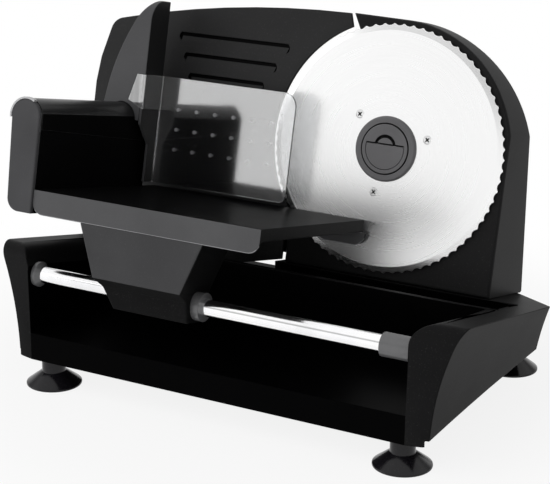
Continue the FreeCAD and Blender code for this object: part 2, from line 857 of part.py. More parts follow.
def make_blade():
    """Round blade with a bevelled edge and scalloped teeth."""
    body = new_body("blade_disc", upper())
    turn(body, "XY_Plane", "V_Axis", [
        ("blade_bore", "0"), ("blade_radius - bevel_width", "0"),
        ("blade_radius", "blade_thickness - bevel_edge"), ("blade_radius", "blade_thickness"),
        ("blade_bore", "blade_thickness")])
    notch = pocket(body, "y", "-cut_overrun", "blade_thickness + cut_overrun",
                   ("ring", "blade_radius - tooth_depth + tooth_scallop", "0", "tooth_scallop"))
    polar(body, notch, "tooth_count", "Y_Axis")
    nodes.remove(body)
    sinks = []
    for angle in SCREW_ANGLES:
        sink = doc.addObject("Part::Cone", "screw_sink")
        sink.Placement = Placement(Vector(), Rotation(Vector(1, 0, 0), -90))
        sink.setExpression("Radius1", ex("blade_screw_head"))
        sink.setExpression("Radius2", ex("blade_screw_shank"))
        sink.setExpression("Height", ex("blade_thickness"))
        sink.setExpression("Placement.Base.x", ex(f"blade_screw_circle * cos({angle})"))
        sink.setExpression("Placement.Base.z", ex(f"blade_screw_circle * sin({angle})"))
        sinks.append(sink)
    body.Placement = Placement()
    keep(cut("blade_with_sinks", body, *sinks), "slicing_blade", upper())


def make_blade_screws():
    """Three countersunk screws with a cross recess, level with the blade's face."""
    screws = []
    head, shank, thickness, circle = nums("blade_screw_head", "blade_screw_shank", "blade_thickness",
                                          "blade_screw_circle")
    cross, depth, length = nums("screw_cross_width", "screw_cross_depth", "gear_flange_rear - running_gap")
    for angle in SCREW_ANGLES:
        turned = math.radians(angle)
        start = Vector(circle * math.cos(turned), 0, circle * math.sin(turned))
        along = Vector(0, 1, 0)
        screw = Part.makeCone(head, shank, thickness, start, along)
        screw = screw.fuse(Part.makeCylinder(shank, length, start, along))
        slots = [slab((start.x - wide / 2, -depth, start.z - tall / 2),
                      (start.x + wide / 2, depth, start.z + tall / 2))
                 for wide, tall in ((cross, head * 1.2), (head * 1.2, cross))]
        for slot in slots:
            slot.rotate(start, along, CROSS_TURN)
        screws.append(screw.cut(slots))
    feature("blade_screws", Part.makeCompound(screws), upper())


def make_hub():
    """Hub ring on the blade's face, with a spigot through its bore and a floor behind."""
    body = new_body("hub_ring", upper())
    turn(body, "XY_Plane", "V_Axis", [
        ("hub_bore", "-hub_face"), ("hub_radius - hub_edge", "-hub_face"),
        ("hub_radius", "-hub_face + hub_edge"), ("hub_radius", "0"), ("blade_bore", "0"),
        ("blade_bore", "hub_floor_rear"), ("lock_stem + shaft_clearance", "hub_floor_rear"),
        ("lock_stem + shaft_clearance", "hub_floor_front"), ("hub_bore", "hub_floor_front")])


def make_lock():
    """Quarter-turn lock in the hub, with a hinged half-round tab and its pin."""
    body = new_body("blade_lock", upper())
    back = "hub_floor_front - running_gap"
    turn(body, "XY_Plane", "V_Axis", [
        ("0", "-lock_face"), ("lock_radius", "-lock_face"), ("lock_radius", back), ("lock_stem", back),
        ("lock_stem", "gear_flange_rear - running_gap"), ("0", "gear_flange_rear - running_gap")])
    half = "sqrt(tab_radius ^ 2 - tab_line_height ^ 2)"
    pocket(body, "y", "-lock_face - cut_overrun", "-lock_face + lock_recess", [
        (f"-{half}", "tab_line_height", "tab_radius"), ("0", "-tab_radius", "tab_radius"),
        (half, "tab_line_height")])
    scoop = "(scoop_half ^ 2 + scoop_height ^ 2) / (2 * scoop_height)"
    knuckle = "(knuckle_half ^ 2 + knuckle_height ^ 2) / (2 * knuckle_height)"
    pocket(body, "y", "-lock_face - cut_overrun", "-lock_face + scoop_depth", [
        ("scoop_half", "tab_line_height", scoop), ("0", "tab_line_height + scoop_height", scoop),
        ("-scoop_half", "tab_line_height"), ("-knuckle_half", "tab_line_height", f"-({knuckle})"),
        ("0", "tab_line_height + knuckle_height", f"-({knuckle})"), ("knuckle_half", "tab_line_height")])
    pin_y = "-lock_face + lock_recess / 2 - running_gap / 2"
    pin_z = "tab_line_height - tab_pin_drop"
    reach = "tab_radius + tab_pin_tail"
    pocket(body, "x", f"-({reach})", reach, ("ring", pin_y, pin_z, "tab_pin_radius"))
    pin = new_body("tab_pin", upper("0", pin_y, pin_z))
    turn(pin, "XY_Plane", "H_Axis", [(f"-({reach})", "0"), (reach, "0"), (reach, "tab_pin_radius"),
                                     (f"-({reach})", "tab_pin_radius")])
    tab = new_body("lock_tab", upper("0", pin_y, pin_z))
    drop = "tab_line_height - tab_pin_drop"
    radius = "tab_radius - running_gap"
    side = f"sqrt(({radius}) ^ 2 - ({drop} + tab_neck) ^ 2)"
    pad(tab, "y", "-tab_thickness / 2", "tab_thickness / 2", [
        (f"-{side}", "tab_neck", radius), ("0", f"-({radius}) - ({drop})", radius), (side, "tab_neck")])
    pocket(tab, "x", f"-({reach})", reach, ("ring", "0", "0", "tab_pin_radius + shaft_clearance"))


# Gear train and motor

def make_gears():
    """Blade gear with its flange behind the blade, its spindle, and the motor's pinion."""
    front, rear, flange, flange_rear = nums("gear_front", "gear_rear", "gear_flange_radius",
                                            "gear_flange_rear")
    along = Vector(0, 1, 0)
    teeth = gear_corners(COUNTS["gear_teeth"], 0)
    wheel = prism(teeth, "xz", front, rear)
    thickness = num("blade_thickness")
    disc = Part.makeCylinder(flange, flange_rear - thickness, Vector(0, thickness, 0), along)
    neck = Part.makeCylinder(num("blade_bore"), rear - thickness, Vector(0, thickness, 0), along)
    wheel = wheel.fuse([disc, neck])
    bores = [Part.makeCylinder(num("blade_bore"), num("hub_floor_rear") - thickness,
                               Vector(0, thickness, 0), along),
             Part.makeCylinder(num("lock_stem + shaft_clearance"), flange_rear, Vector(), along),
             Part.makeCylinder(num("spindle_radius"), rear, Vector(), along)]
    circle, shank = nums("blade_screw_circle", "blade_screw_shank")
    for angle in SCREW_ANGLES:
        turned = math.radians(angle)
        start = Vector(circle * math.cos(turned), 0, circle * math.sin(turned))
        bores.append(Part.makeCylinder(shank, flange_rear, start, along))
    feature("blade_gear", wheel.cut(bores).removeSplitter(), upper())
    length = "spindle_rear - gear_flange_rear"
    turn(new_body("blade_spindle", upper("0", "gear_flange_rear", "0")), "XY_Plane", "V_Axis", [
        ("0", "0"), ("spindle_radius", "0"), ("spindle_radius", length), ("0", length)])
    pinion = prism(gear_corners(COUNTS["pinion_teeth"], math.pi / 2 + math.pi / COUNTS["pinion_teeth"]),
                   "xz", front, rear)
    pinion = pinion.cut(Part.makeCylinder(num("motor_shaft_radius"), rear, Vector(), along))
    feature("motor_pinion", pinion, motor_axis())


MOTOR_DROP = "gear_module * (gear_teeth + pinion_teeth) / 2"


def motor_axis(along="0"):
    """Give the placement of a point of the motor's axis, below the blade's."""
    return upper("0", along, f"-({MOTOR_DROP})")


def make_gearbox():
    """Plate inside the housing on four posts, with the blade's bush."""
    margin, post, front, inner = nums("plate_margin", "plate_post_radius", "plate_front",
                                      "housing_front + shell_wall")
    rear = front + num("plate_thickness")
    top, bottom, wide = nums("spindle_rear", f"-({MOTOR_DROP} + motor_radius + plate_margin)",
                             "motor_radius * 2 - plate_post_radius")
    plate = slab((-wide, front, bottom), (wide, rear, top))
    along = Vector(0, 1, 0)
    posts = [Part.makeCylinder(post, rear - inner, Vector(side * (wide - post * 1.5), inner, height), along)
             for side in (-1, 1) for height in (top - post * 1.5, bottom + post * 1.5)]
    plate = plate.fuse(posts)
    motor = Vector(0, 0, num(f"-({MOTOR_DROP})"))
    plate = plate.cut([Part.makeCylinder(num("bush_radius"), rear, Vector(), along),
                       Part.makeCylinder(num("motor_bearing_radius"), rear, motor, along)])
    feature("gearbox_plate", plate.removeSplitter(), upper())
    body = new_body("spindle_bush", upper())
    bore = "spindle_radius + shaft_clearance"
    turn(body, "XY_Plane", "V_Axis", [
        (bore, "plate_front - running_gap * 5"), ("bush_radius", "plate_front - running_gap * 5"),
        ("bush_radius", "bush_rear"), (bore, "bush_rear")])


def make_motor():
    """Motor below the blade: stator on struts, armature, two bearings, bracket and fan."""
    bearing_rear = "plate_front + motor_bearing_length"
    body = new_body("motor_bearing_front", motor_axis())
    bore = "motor_shaft_radius + shaft_clearance"
    turn(body, "XY_Plane", "V_Axis", [
        (bore, "plate_front"), ("motor_bearing_radius", "plate_front"),
        ("motor_bearing_radius", bearing_rear), (bore, bearing_rear)])
    stator = new_body("motor_stator", motor_axis())
    turn(stator, "XY_Plane", "V_Axis", [
        ("armature_radius + motor_air_gap", "motor_front"), ("motor_radius", "motor_front"),
        ("motor_radius", "motor_rear"), ("armature_radius + motor_air_gap", "motor_rear")])
    spread = "(motor_radius - motor_strut_radius * 1.2) * sqrt(0.5)"
    for x, z in ((1, 1), (1, -1), (-1, 1), (-1, -1)):
        pad(stator, "y", "plate_front + plate_thickness", "motor_front + cut_overrun",
            ("ring", f"{spread} * {x}", f"{spread} * {z}", "motor_strut_radius"))
    bracket = new_body("motor_bracket", motor_axis())
    pad(bracket, "y", "motor_rear", "motor_rear + plate_thickness",
        [("-motor_radius * 0.9", "-motor_bearing_radius * 1.4"),
         ("motor_radius * 0.9", "-motor_bearing_radius * 1.4"),
         ("motor_radius * 0.9", "motor_bearing_radius * 1.4"),
         ("-motor_radius * 0.9", "motor_bearing_radius * 1.4")],
        ("ring", "0", "0", "motor_bearing_radius"))
    body = new_body("motor_bearing_rear", motor_axis())
    turn(body, "XY_Plane", "V_Axis", [
        (bore, "motor_rear"), ("motor_bearing_radius", "motor_rear"),
        ("motor_bearing_radius", "motor_rear + motor_bearing_length"),
        (bore, "motor_rear + motor_bearing_length")])
    body = new_body("motor_armature", motor_axis())
    fan = "motor_rear + motor_bearing_length + running_gap * 3"
    turn(body, "XY_Plane", "V_Axis", [
        ("0", "gear_front"), ("motor_shaft_radius", "gear_front"),
        ("motor_shaft_radius", "motor_front"), ("armature_radius", "motor_front"),
        ("armature_radius", "motor_rear - motor_bearing_length"),
        ("motor_shaft_radius", "motor_rear - motor_bearing_length"),
        ("motor_shaft_radius", f"{fan} + fan_thickness"), ("0", f"{fan} + fan_thickness")])
    body = new_body("motor_fan", motor_axis(fan))
    turn(body, "XY_Plane", "V_Axis", [
        ("motor_shaft_radius", "0"), ("fan_hub_radius", "0"),
        ("fan_hub_radius", "fan_thickness - fan_disc"), ("fan_radius", "fan_thickness - fan_disc"),
        ("fan_radius", "fan_thickness"), ("motor_shaft_radius", "fan_thickness")])
    vane = pad(body, "y", "0", "fan_thickness - fan_disc / 2", [
        ("fan_hub_radius * 0.9", "0"), ("fan_radius - fan_disc", "0"),
        ("fan_radius - fan_disc", "fan_blade_thickness"), ("fan_hub_radius * 0.9", "fan_blade_thickness")])
    polar(body, vane, "fan_blade_count", "Y_Axis")


# Housing

def housing_outline(inset):
    """List the housing's outline, in by an inset: round over the blade, square at the foot."""
    radius, right, left, inner, foot = nums("housing_radius", "housing_right", "housing_left",
                                            "housing_inner_radius", "deck_drop")
    tip_x, tip_z, drop, back, flat = nums("housing_tip_x", "housing_tip_height", "housing_tip_drop",
                                          "housing_tip_back", "housing_flat_end")
    radius -= inset
    right -= inset
    left -= inset
    inner -= inset
    foot -= inset
    tip_z -= inset
    tip_x -= inset * 2
    shoulder = math.sqrt(radius ** 2 - right ** 2)
    start = math.sqrt(radius ** 2 - flat ** 2)
    turned = (math.atan2(start, flat) + math.atan2(shoulder, right)) / 2
    low = math.sqrt(inner ** 2 - left ** 2)
    neck = math.sqrt(inner ** 2 - (tip_x - back) ** 2)
    return [(-tip_x, tip_z), (flat, start), (radius * math.cos(turned), radius * math.sin(turned), "way"),
            (right, shoulder), (right, -foot), (-left, -foot), (-left, -low), (-inner, 0, "way"),
            (-tip_x + back, neck), (-tip_x + back, max(tip_z - drop, neck + inset + back / 12))]


def housing_form(inset, front, depth):
    return prism(housing_outline(inset), "xz", front, front + depth)


def behind(shape, rear):
    """Keep what lies in front of an upright plane, for a shape in the upper frame."""
    reach = num("deck_drop * 3")
    trimmed = shape.copy()
    trimmed.Placement = upper()
    return trimmed.common(slab((-reach, -reach, -reach), (reach, rear, reach * 2)))


def make_housing():
    """Blade housing: a deep moulded shell, open at the back and round the blade's gear."""
    front, wall, depth, rear = nums("housing_front", "shell_wall", "deck_drop * 2", "housing_rear")
    rounding = num("housing_rounding")
    sections = []
    for share in (0, 0.08, 0.3, 1):
        inset = rounding * (1 - math.sqrt(1 - (1 - share) ** 2))
        sections.append(face(housing_outline(inset), "xz", front + rounding * share).OuterWire)
    outer = housing_form(0, front + rounding, depth).fuse(Part.makeLoft(sections, True, True))
    hollow = housing_form(wall, front + wall, depth)
    hole = Part.makeCylinder(num("housing_hole_radius"), wall * 2, Vector(0, front - wall / 2, 0),
                             Vector(0, 1, 0))
    shape = behind(outer.cut([hollow, hole]), rear)
    along = Vector(0, 1, 0)
    boss, length, shank = nums("cover_boss_radius", "cover_boss_length", "cover_screw_shank")
    starts = [Vector(x, rear - length, z) for x, z in cover_screw_places()]
    limits = behind(housing_form(0, front, depth), rear)
    bosses = [Part.makeCylinder(boss, length, start, along).common(limits) for start in starts]
    shape = shape.fuse(bosses)
    shape = shape.cut([Part.makeCylinder(shank, length, start, along) for start in starts])
    feature("blade_housing", shape.removeSplitter(), level())


def round_box(low, high, corner, rounding):
    """Make a box with rounded long corners and a rounded rear face."""
    box = slab(low, high)
    uprights = [edge for edge in box.Edges if edge.BoundBox.YLength > corner / 10]
    box = box.makeFillet(corner, uprights)
    back = [edge for edge in box.Edges if abs(edge.BoundBox.YMin - high[1]) < corner / 100]
    return box.makeFillet(rounding, back)


def cover_screw_places():
    """List the places of the rear cover's screws on the housing's back, near its outline."""
    inset, radius, inner, right, left, foot, lean = nums(
        "cover_screw_inset", "housing_radius", "housing_inner_radius", "housing_right", "housing_left",
        "deck_drop", "lean_angle")
    round_places = zip((radius - inset, radius - inset, inner - inset), COVER_SCREW_ANGLES)
    places = [(reach * math.cos(math.radians(angle)), reach * math.sin(math.radians(angle)))
              for reach, angle in round_places]
    places += [(right - inset, inset - foot), (inset - left, inset - foot)]
    lean = math.radians(lean)
    back = num("housing_rear - blade_axis_y") * math.tan(lean)
    return [(num("blade_axis_x") + x, num("blade_axis_height") + z / math.cos(lean) - back)
            for x, z in places]


def make_motor_cover():
    """Rear cover: a plate over the housing's open back and a hollow bulge for the motor."""
    rear, thickness, inset, depth = nums("housing_rear", "cover_plate", "cover_inset", "deck_drop * 2")
    form = behind(housing_form(inset, 0, depth), rear + thickness)
    plate = form.cut(behind(housing_form(0, -1, depth + 2), rear))
    low = (num("bulge_left"), rear, num("bulge_bottom"))
    high = (num("bulge_right"), num("cover_rear"), num("bulge_top"))
    corner, rounding, wall = nums("bulge_corner", "bulge_rounding", "bulge_wall")
    bulge = round_box(low, high, corner, rounding)
    inner = round_box((low[0] + wall, low[1] - wall, low[2] + wall),
                      (high[0] - wall, high[1] - wall, high[2] - wall), corner - wall, rounding - wall)
    vents = []
    for number in range(COUNTS["vent_count"]):
        height = num("vent_bottom") + number * num("vent_pitch")
        middle = num("blade_axis_x")
        half = num("vent_width") / 2
        vents.append(slab((middle - half, rear + thickness, height),
                          (middle + half, high[1] + thickness, height + num("vent_height"))))
    switch = slab((num("switch_x - switch_width / 2"), rear, num("switch_height - switch_tall / 2")),
                  (num("switch_x + switch_width / 2"), high[1] + thickness,
                   num("switch_height + switch_tall / 2")))
    inlet = Part.makeCylinder(num("inlet_radius"), depth, Vector(num("inlet_x"), rear, num("inlet_height")),
                              Vector(0, 1, 0))
    holes = []
    for x, z in cover_screw_places():
        holes.append(Part.makeCylinder(num("cover_screw_shank"), thickness * 2,
                                       Vector(x, rear - thickness / 2, z), Vector(0, 1, 0)))
    shape = plate.fuse(bulge).cut([inner, switch, inlet] + vents + holes)
    feature("motor_cover", shape.removeSplitter(), level())


def make_cover_screws():
    """Six screws that hold the rear cover to bosses of the housing."""
    rear, thickness, head, shank, length = nums("housing_rear", "cover_plate", "cover_screw_head",
                                                "cover_screw_shank", "cover_screw_length")
    along = Vector(0, 1, 0)
    screws = []
    for x, z in cover_screw_places():
        face_y = rear + thickness
        cap = Part.makeCylinder(head, thickness * 0.7, Vector(x, face_y, z), along)
        cap = cap.makeFillet(thickness * 0.3, [edge for edge in cap.Edges
                                               if edge.CenterOfMass.y > face_y + thickness / 2
                                               and edge.BoundBox.YLength < thickness / 10])
        shaft = Part.makeCylinder(shank, length, Vector(x, face_y - length, z), along)
        screws.append(cap.fuse(shaft))
    feature("cover_screws", Part.makeCompound(screws), level())


def make_switch():
    """Rocker switch in the rear cover: its body with a rim, its rocker and the rocker's pin."""
    body = new_body("switch_body", level("switch_x", "cover_rear", "switch_height"))
    half, tall = "(switch_width / 2 - shaft_clearance)", "(switch_tall / 2 - shaft_clearance)"
    pad(body, "y", "-switch_depth", "0", [(f"-{half}", f"-{tall}"), (half, f"-{tall}"), (half, tall),
                                          (f"-{half}", tall)])
    half, tall = "(switch_width / 2 + switch_rim)", "(switch_tall / 2 + switch_rim)"
    pad(body, "y", "0", "switch_rim", [(f"-{half}", f"-{tall}"), (half, f"-{tall}"), (half, tall),
                                       (f"-{half}", tall)])
    round_edges(body, "switch_rim * 0.6", lambda middle, edge: middle.y > num("switch_rim * 0.99"))
    half, tall = "(rocker_width / 2 + running_gap)", "(rocker_tall / 2 + running_gap * 4)"
    pocket(body, "y", "-switch_depth + switch_rim", "switch_rim + cut_overrun", [
        (f"-{half}", f"-{tall}"), (half, f"-{tall}"), (half, tall), (f"-{half}", tall)])
    pocket(body, "x", "-switch_width / 2 + switch_rim", "switch_width / 2 - switch_rim",
           ("ring", "-rocker_sunk / 2", "0", "rocker_pin_radius"))
    rocker = new_body("switch_rocker", level("switch_x", "cover_rear - rocker_sunk / 2", "switch_height"))
    pad(rocker, "x", "-rocker_width / 2", "rocker_width / 2", [
        ("-rocker_sunk / 2", "-rocker_tall / 4"), ("rocker_sunk / 2 + switch_rim / 2", "-rocker_tall / 2"),
        ("rocker_sunk / 2 + rocker_proud", "-rocker_tall / 2"),
        ("rocker_sunk / 2 + switch_rim", "0"), ("rocker_sunk / 2 + rocker_proud", "rocker_tall / 2"),
        ("rocker_sunk / 2 + switch_rim / 2", "rocker_tall / 2"), ("-rocker_sunk / 2", "rocker_tall / 4")])
    pocket(rocker, "x", "-rocker_width", "rocker_width",
           ("ring", "0", "0", "rocker_pin_radius + shaft_clearance"))
    reach = "switch_width / 2 - switch_rim"
    pin = new_body("switch_pin", rocker.Placement)
    turn(pin, "XY_Plane", "H_Axis", [(f"-({reach})", "0"), (reach, "0"), (reach, "rocker_pin_radius"),
                                     (f"-({reach})", "rocker_pin_radius")])


def make_inlet():
    """Round gland in the rear cover where a lead would enter."""
    body = new_body("lead_inlet", level("inlet_x", "cover_rear", "inlet_height"))
    inside = "-bulge_wall - inlet_flange_thickness"
    turn(body, "XY_Plane", "V_Axis", [
        ("inlet_bore", inside), ("inlet_radius", inside), ("inlet_radius", "0"), ("inlet_flange", "0"),
        ("inlet_bore + inlet_flange_thickness", "inlet_flange_thickness"),
        ("inlet_bore", "inlet_flange_thickness")])


# Fence

def make_fence():
    """Thickness fence: a flat plate with three grooves that run out downwards, and a mouth for the blade."""
    body = new_body("fence_plate", upper("0", "fence_front", "0"))
    corner = "fence_corner_rounding"
    mouth_x = "sqrt(fence_mouth_radius ^ 2 - fence_mouth_foot ^ 2)"
    mouth_top = "sqrt(fence_mouth_radius ^ 2 - fence_mouth_top_x ^ 2)"
    pad(body, "y", "0", "fence_thickness", [
        ("-fence_left", "-fence_bottom"), ("-fence_tongue_left", "-fence_bottom"),
        ("-fence_tongue_left + fence_tongue_drop", "-fence_bottom - fence_tongue_drop"),
        ("-fence_tongue_right", "-fence_bottom - fence_tongue_drop"), (f"-({mouth_x})", "-fence_bottom"),
        (f"-({mouth_x})", "-fence_mouth_foot", "-fence_mouth_radius"),
        ("-fence_mouth_top_x", mouth_top), ("-fence_top_x", "fence_top_height", "fence_top_radius"),
        ("-fence_corner_x", "fence_corner_height"), ("-fence_shoulder_x", "fence_shoulder_height"),
        ("-fence_left", "fence_side_top")])
    along = Vector(0, 1, 0)
    left, high = nums("-fence_corner_x", "fence_corner_height")
    round_edges(body, corner, lambda middle, edge: runs_along(edge, body.Placement, along)
                and abs(middle.x - left) + abs(middle.z - high) < 1)
    left, low = nums("-fence_left", "-fence_bottom")
    round_edges(body, "fence_foot_rounding", lambda middle, edge: runs_along(edge, body.Placement, along)
                and abs(middle.x - left) + abs(middle.z - low) < 1)
    for number in range(COUNTS["groove_count"]):
        height = f"groove_top_height - groove_pitch * {number}"
        left = f"-groove_left + groove_left_step * {number}"
        right = f"-groove_right - groove_right_step * {number}"
        half = "groove_width / 2"
        pocket(body, "y", "-cut_overrun", "groove_depth", [
            (right, f"{height} - {half}", "groove_end_radius"), (right, f"{height} + {half}"),
            (left, f"{height} + {half}", "groove_end_radius"), (left, f"{height} - {half}")])
        pad(body, "x", left, right, [
            ("0", f"{height} - {half}"), ("groove_depth", f"{height} - {half}"),
            ("groove_depth", f"{height} + {half} - groove_floor")])


def make_fence_guide():
    """Guide block on the housing's flank, with bores for two rods and the knob's shaft."""
    body = new_body("fence_guide", upper())
    pad(body, "y", "guide_front", "guide_rear", [
        ("-guide_left", "-guide_bottom"), ("-housing_left", "-guide_bottom"),
        ("-housing_left", "-guide_top"), ("-guide_left", "-guide_top")])
    left = num("-guide_left")
    round_edges(body, "guide_rounding", lambda middle, edge: abs(middle.x - left) < 1)
    bore = "rod_radius + rod_clearance"
    pocket(body, "y", "guide_front - cut_overrun", "guide_rear + cut_overrun",
           ("ring", "-rod_left_x", "-rod_drop", bore), ("ring", "-rod_right_x", "-rod_drop", bore),
           ("ring", "-knob_x", "-knob_drop", "knob_shaft_radius + rod_clearance"))


def make_fence_rods():
    """Two guide rods behind the fence."""
    for name, x in (("fence_rod_left", "-rod_left_x"), ("fence_rod_right", "-rod_right_x")):
        body = new_body(name, upper(x, "fence_front + fence_thickness", "-rod_drop"))
        end = "rod_rear - fence_front - fence_thickness"
        turn(body, "XY_Plane", "V_Axis", [
            ("0", "0"), ("rod_radius * 1.6", "0"), ("rod_radius * 1.6", "rod_front / 3"),
            ("rod_radius", "rod_front / 3"), ("rod_radius", f"{end} - rod_clearance * 8"),
            ("rod_radius - rod_clearance * 8", end), ("0", end)])


def make_knob():
    """Thickness knob behind the fence, on its shaft with a feed disc."""
    knob = new_body("thickness_knob", upper("-knob_x", "0", "-knob_drop"))
    turn(knob, "XY_Plane", "V_Axis", [
        ("knob_shaft_radius", "knob_front"), ("knob_radius", "knob_front"),
        ("knob_radius", "knob_rear - knob_rounding"), ("knob_radius - knob_rounding", "knob_rear"),
        ("knob_shaft_radius", "knob_rear")])
    grip = pocket(knob, "y", "knob_front + knob_rounding", "knob_rear + cut_overrun",
                  ("ring", "knob_radius + knob_groove_radius / 3", "0", "knob_groove_radius"))
    polar(knob, grip, "knob_groove_count", "Y_Axis")
    shaft = new_body("knob_shaft", upper("-knob_x", "0", "-knob_drop"))
    turn(shaft, "XY_Plane", "V_Axis", [
        ("0", "knob_shaft_front"), ("knob_spiral_radius", "knob_shaft_front"),
        ("knob_spiral_radius", "knob_spiral_rear"), ("knob_shaft_radius", "knob_spiral_rear"),
        ("knob_shaft_radius", "knob_rear"), ("0", "knob_rear")])


# Carriage

def make_tray():
    """Carriage tray: a sheet with a front apron, a right skirt and a rear skirt."""
    body = new_body("carriage_tray", upper())
    bottom = "-tray_top - tray_thickness"
    pad(body, "z", bottom, "-tray_top", [
        ("-tray_left", "-tray_front"), ("-tray_right", "-tray_front"), ("-tray_right", "-tray_rear"),
        ("-tray_left", "-tray_rear")])
    pad(body, "y", "-tray_front", "-tray_front + apron_thickness", [
        ("-tray_left", "-apron_drop + tray_corner", "tray_corner"), ("-tray_left + tray_corner", "-apron_drop"),
        ("-tray_right - tray_corner", "-apron_drop", "tray_corner"),
        ("-tray_right", "-apron_drop + tray_corner"), ("-tray_right", f"{bottom} + tray_thickness / 2"),
        ("-tray_left", f"{bottom} + tray_thickness / 2")])
    low = "-tray_top - skirt_drop"
    pad(body, "x", "-tray_right - tray_thickness", "-tray_right", [
        ("-tray_front + apron_thickness / 2", low), ("-tray_rear", low),
        ("-tray_rear", f"{bottom} + tray_thickness / 2"),
        ("-tray_front + apron_thickness / 2", f"{bottom} + tray_thickness / 2")])
    pad(body, "y", "-tray_rear - tray_thickness", "-tray_rear", [
        ("-tray_left", low), ("-rear_apron_left", low), ("-rear_apron_left", "-rear_apron_drop + tray_corner",
                                                         "tray_corner"),
        ("-rear_apron_left + tray_corner", "-rear_apron_drop"),
        ("-rear_apron_right - tray_corner", "-rear_apron_drop", "tray_corner"),
        ("-rear_apron_right", "-rear_apron_drop + tray_corner"), ("-rear_apron_right", low),
        ("-tray_right", low), ("-tray_right", f"{bottom} + tray_thickness / 2"),
        ("-tray_left", f"{bottom} + tray_thickness / 2")])


def make_end_wall():
    """Upright wall at the carriage's left end, hollow from below, its left side leaning in downwards."""
    body = new_body("carriage_wall", upper())
    foot = "-wall_left + cap_taper"
    pad(body, "y", "-cap_front + cap_thickness", "-wall_rear", [
        (foot, "-wall_bottom + cap_corner", "cap_corner"), (f"{foot} + cap_corner", "-wall_bottom"),
        ("-tray_left", "-wall_bottom"), ("-tray_left", "-wall_top"), ("-wall_left", "-wall_top")])
    wall = "shell_wall"
    pocket(body, "z", "-wall_bottom - cut_overrun", f"-wall_top - {wall}", [
        (f"{foot} + {wall}", f"-cap_front + cap_thickness + {wall}"),
        (f"-tray_left - {wall}", f"-cap_front + cap_thickness + {wall}"),
        (f"-tray_left - {wall}", f"-wall_rear - {wall}"), (f"{foot} + {wall}", f"-wall_rear - {wall}")])


def make_end_cap():
    """Front cap of the carriage's end wall, with its arched top."""
    body = new_body("carriage_cap", upper())
    half = "(wall_left - tray_left) / 2"
    middle = "(wall_left + tray_left) / 2"
    foot = "-wall_left + cap_taper"
    pad(body, "y", "-cap_front", "-cap_front + cap_thickness", [
        (foot, "-wall_bottom + cap_corner", "cap_corner"), (f"{foot} + cap_corner", "-wall_bottom"),
        ("-tray_left", "-wall_bottom"), ("-tray_left", "-wall_top", half),
        (f"-({middle})", f"-wall_top + {half}", half), ("-wall_left", "-wall_top")])
    front = num("-cap_front")
    round_edges(body, "cap_rim", lambda place, edge: abs(place.y - front) < num("cap_rim") / 10)


def make_hood():
    """Half-round hood on the end wall, which guides the pusher."""
    body = new_body("carriage_hood", upper("-hood_x", "0", "-wall_top"))
    inner = "hood_radius - hood_wall"
    pad(body, "y", "-cap_front + cap_thickness", "-hood_rear", [
        ("hood_radius", "0", "hood_radius"), ("0", "hood_radius", "hood_radius"), ("-hood_radius", "0"),
        (f"-({inner})", "0", f"-({inner})"), ("0", inner, f"-({inner})"), (inner, "0")])
    pad(body, "x", "hood_radius - hood_wall / 4", "hood_radius", [
        ("-cap_front + cap_thickness", "-hood_skirt_front"), ("-hood_rear", "-hood_skirt_rear"),
        ("-hood_rear", "running_gap"), ("-cap_front + cap_thickness", "running_gap")])


def make_bracket():
    """Hanging bracket between the tray and the rail, tapering down to a narrow foot."""
    top, waist, nose, foot = nums("wall_bottom", "bracket_waist", "bracket_nose_drop", "bracket_bottom")
    share = (nose - waist) / (foot - waist)
    left_waist, left_foot, right_waist, right_foot, rear_waist, rear_foot = nums(
        "bracket_waist_left", "bracket_foot_left", "bracket_waist_right", "bracket_foot_right",
        "bracket_rear", "bracket_foot_rear")
    depth, wide, wall, gap = nums("bracket_front", "tray_left + cut_overrun", "bracket_wall",
                                  "bush_ring_radius")
    levels = [(top, num("bracket_top_left"), num("bracket_top_right"), depth, rear_waist),
              (waist, left_waist, right_waist, depth, rear_waist),
              (nose, left_waist + (left_foot - left_waist) * share,
               right_waist + (right_foot - right_waist) * share, num("bracket_foot_front") + wall,
               rear_waist + (rear_foot - rear_waist) * share),
              (foot, left_foot, right_foot, num("bracket_foot_front"), rear_foot)]
    shape = None
    for upper_level, lower_level in zip(levels, levels[1:]):
        ends = [rounded_plan((-left, -right), (-front, -rear), num("bracket_rounding"), -down)
                for down, left, right, front, rear in (upper_level, lower_level)]
        piece = Part.makeLoft([end.OuterWire for end in ends], True, True)
        shape = shape.fuse(piece) if shape else piece
    rail_y, rail_z = lean_point(num("-rail_y"), num("rail_height"))
    head = slab((num("-bracket_top_left") + wall, num("-tray_front + apron_thickness"),
                 num("-wall_bottom") - wall),
                (num("-bracket_top_right") - wall, num("-bracket_rear"), num("-tray_top - tray_thickness")))
    shape = shape.fuse(head)
    low = slab((num("-bracket_waist_left") + wall, num("-bracket_front") + wall * 2, num("-bracket_waist")),
               (num("-bracket_waist_right") - wall, num("-bracket_rear") - wall, 0))
    socket = Part.makeCylinder(gap, wide, Vector(-wide, rail_y, rail_z), Vector(1, 0, 0))
    shape = shape.cut([low.cut(Part.makeCylinder(gap + wall, wide, Vector(-wide, rail_y, rail_z),
                                                 Vector(1, 0, 0))), socket])
    feature("carriage_bracket", shape.removeSplitter(), upper())
    for name, side in (("rail_bush_left", -1), ("rail_bush_right", 1)):
        edge = "-bracket_foot_right" if side > 0 else "-bracket_foot_left"
        start, end = (f"{edge} - bush_length + bush_proud", f"{edge} + bush_proud")
        if side < 0:
            start, end = (f"{edge} - bush_proud", f"{edge} + bush_length - bush_proud")
        body = new_body(name, level("blade_axis_x", "-rail_y", "rail_height"))
        bore = "rail_radius + bush_clearance"
        turn(body, "XY_Plane", "H_Axis", [(start, bore), (end, bore), (end, "bush_ring_radius"),
                                          (start, "bush_ring_radius")])


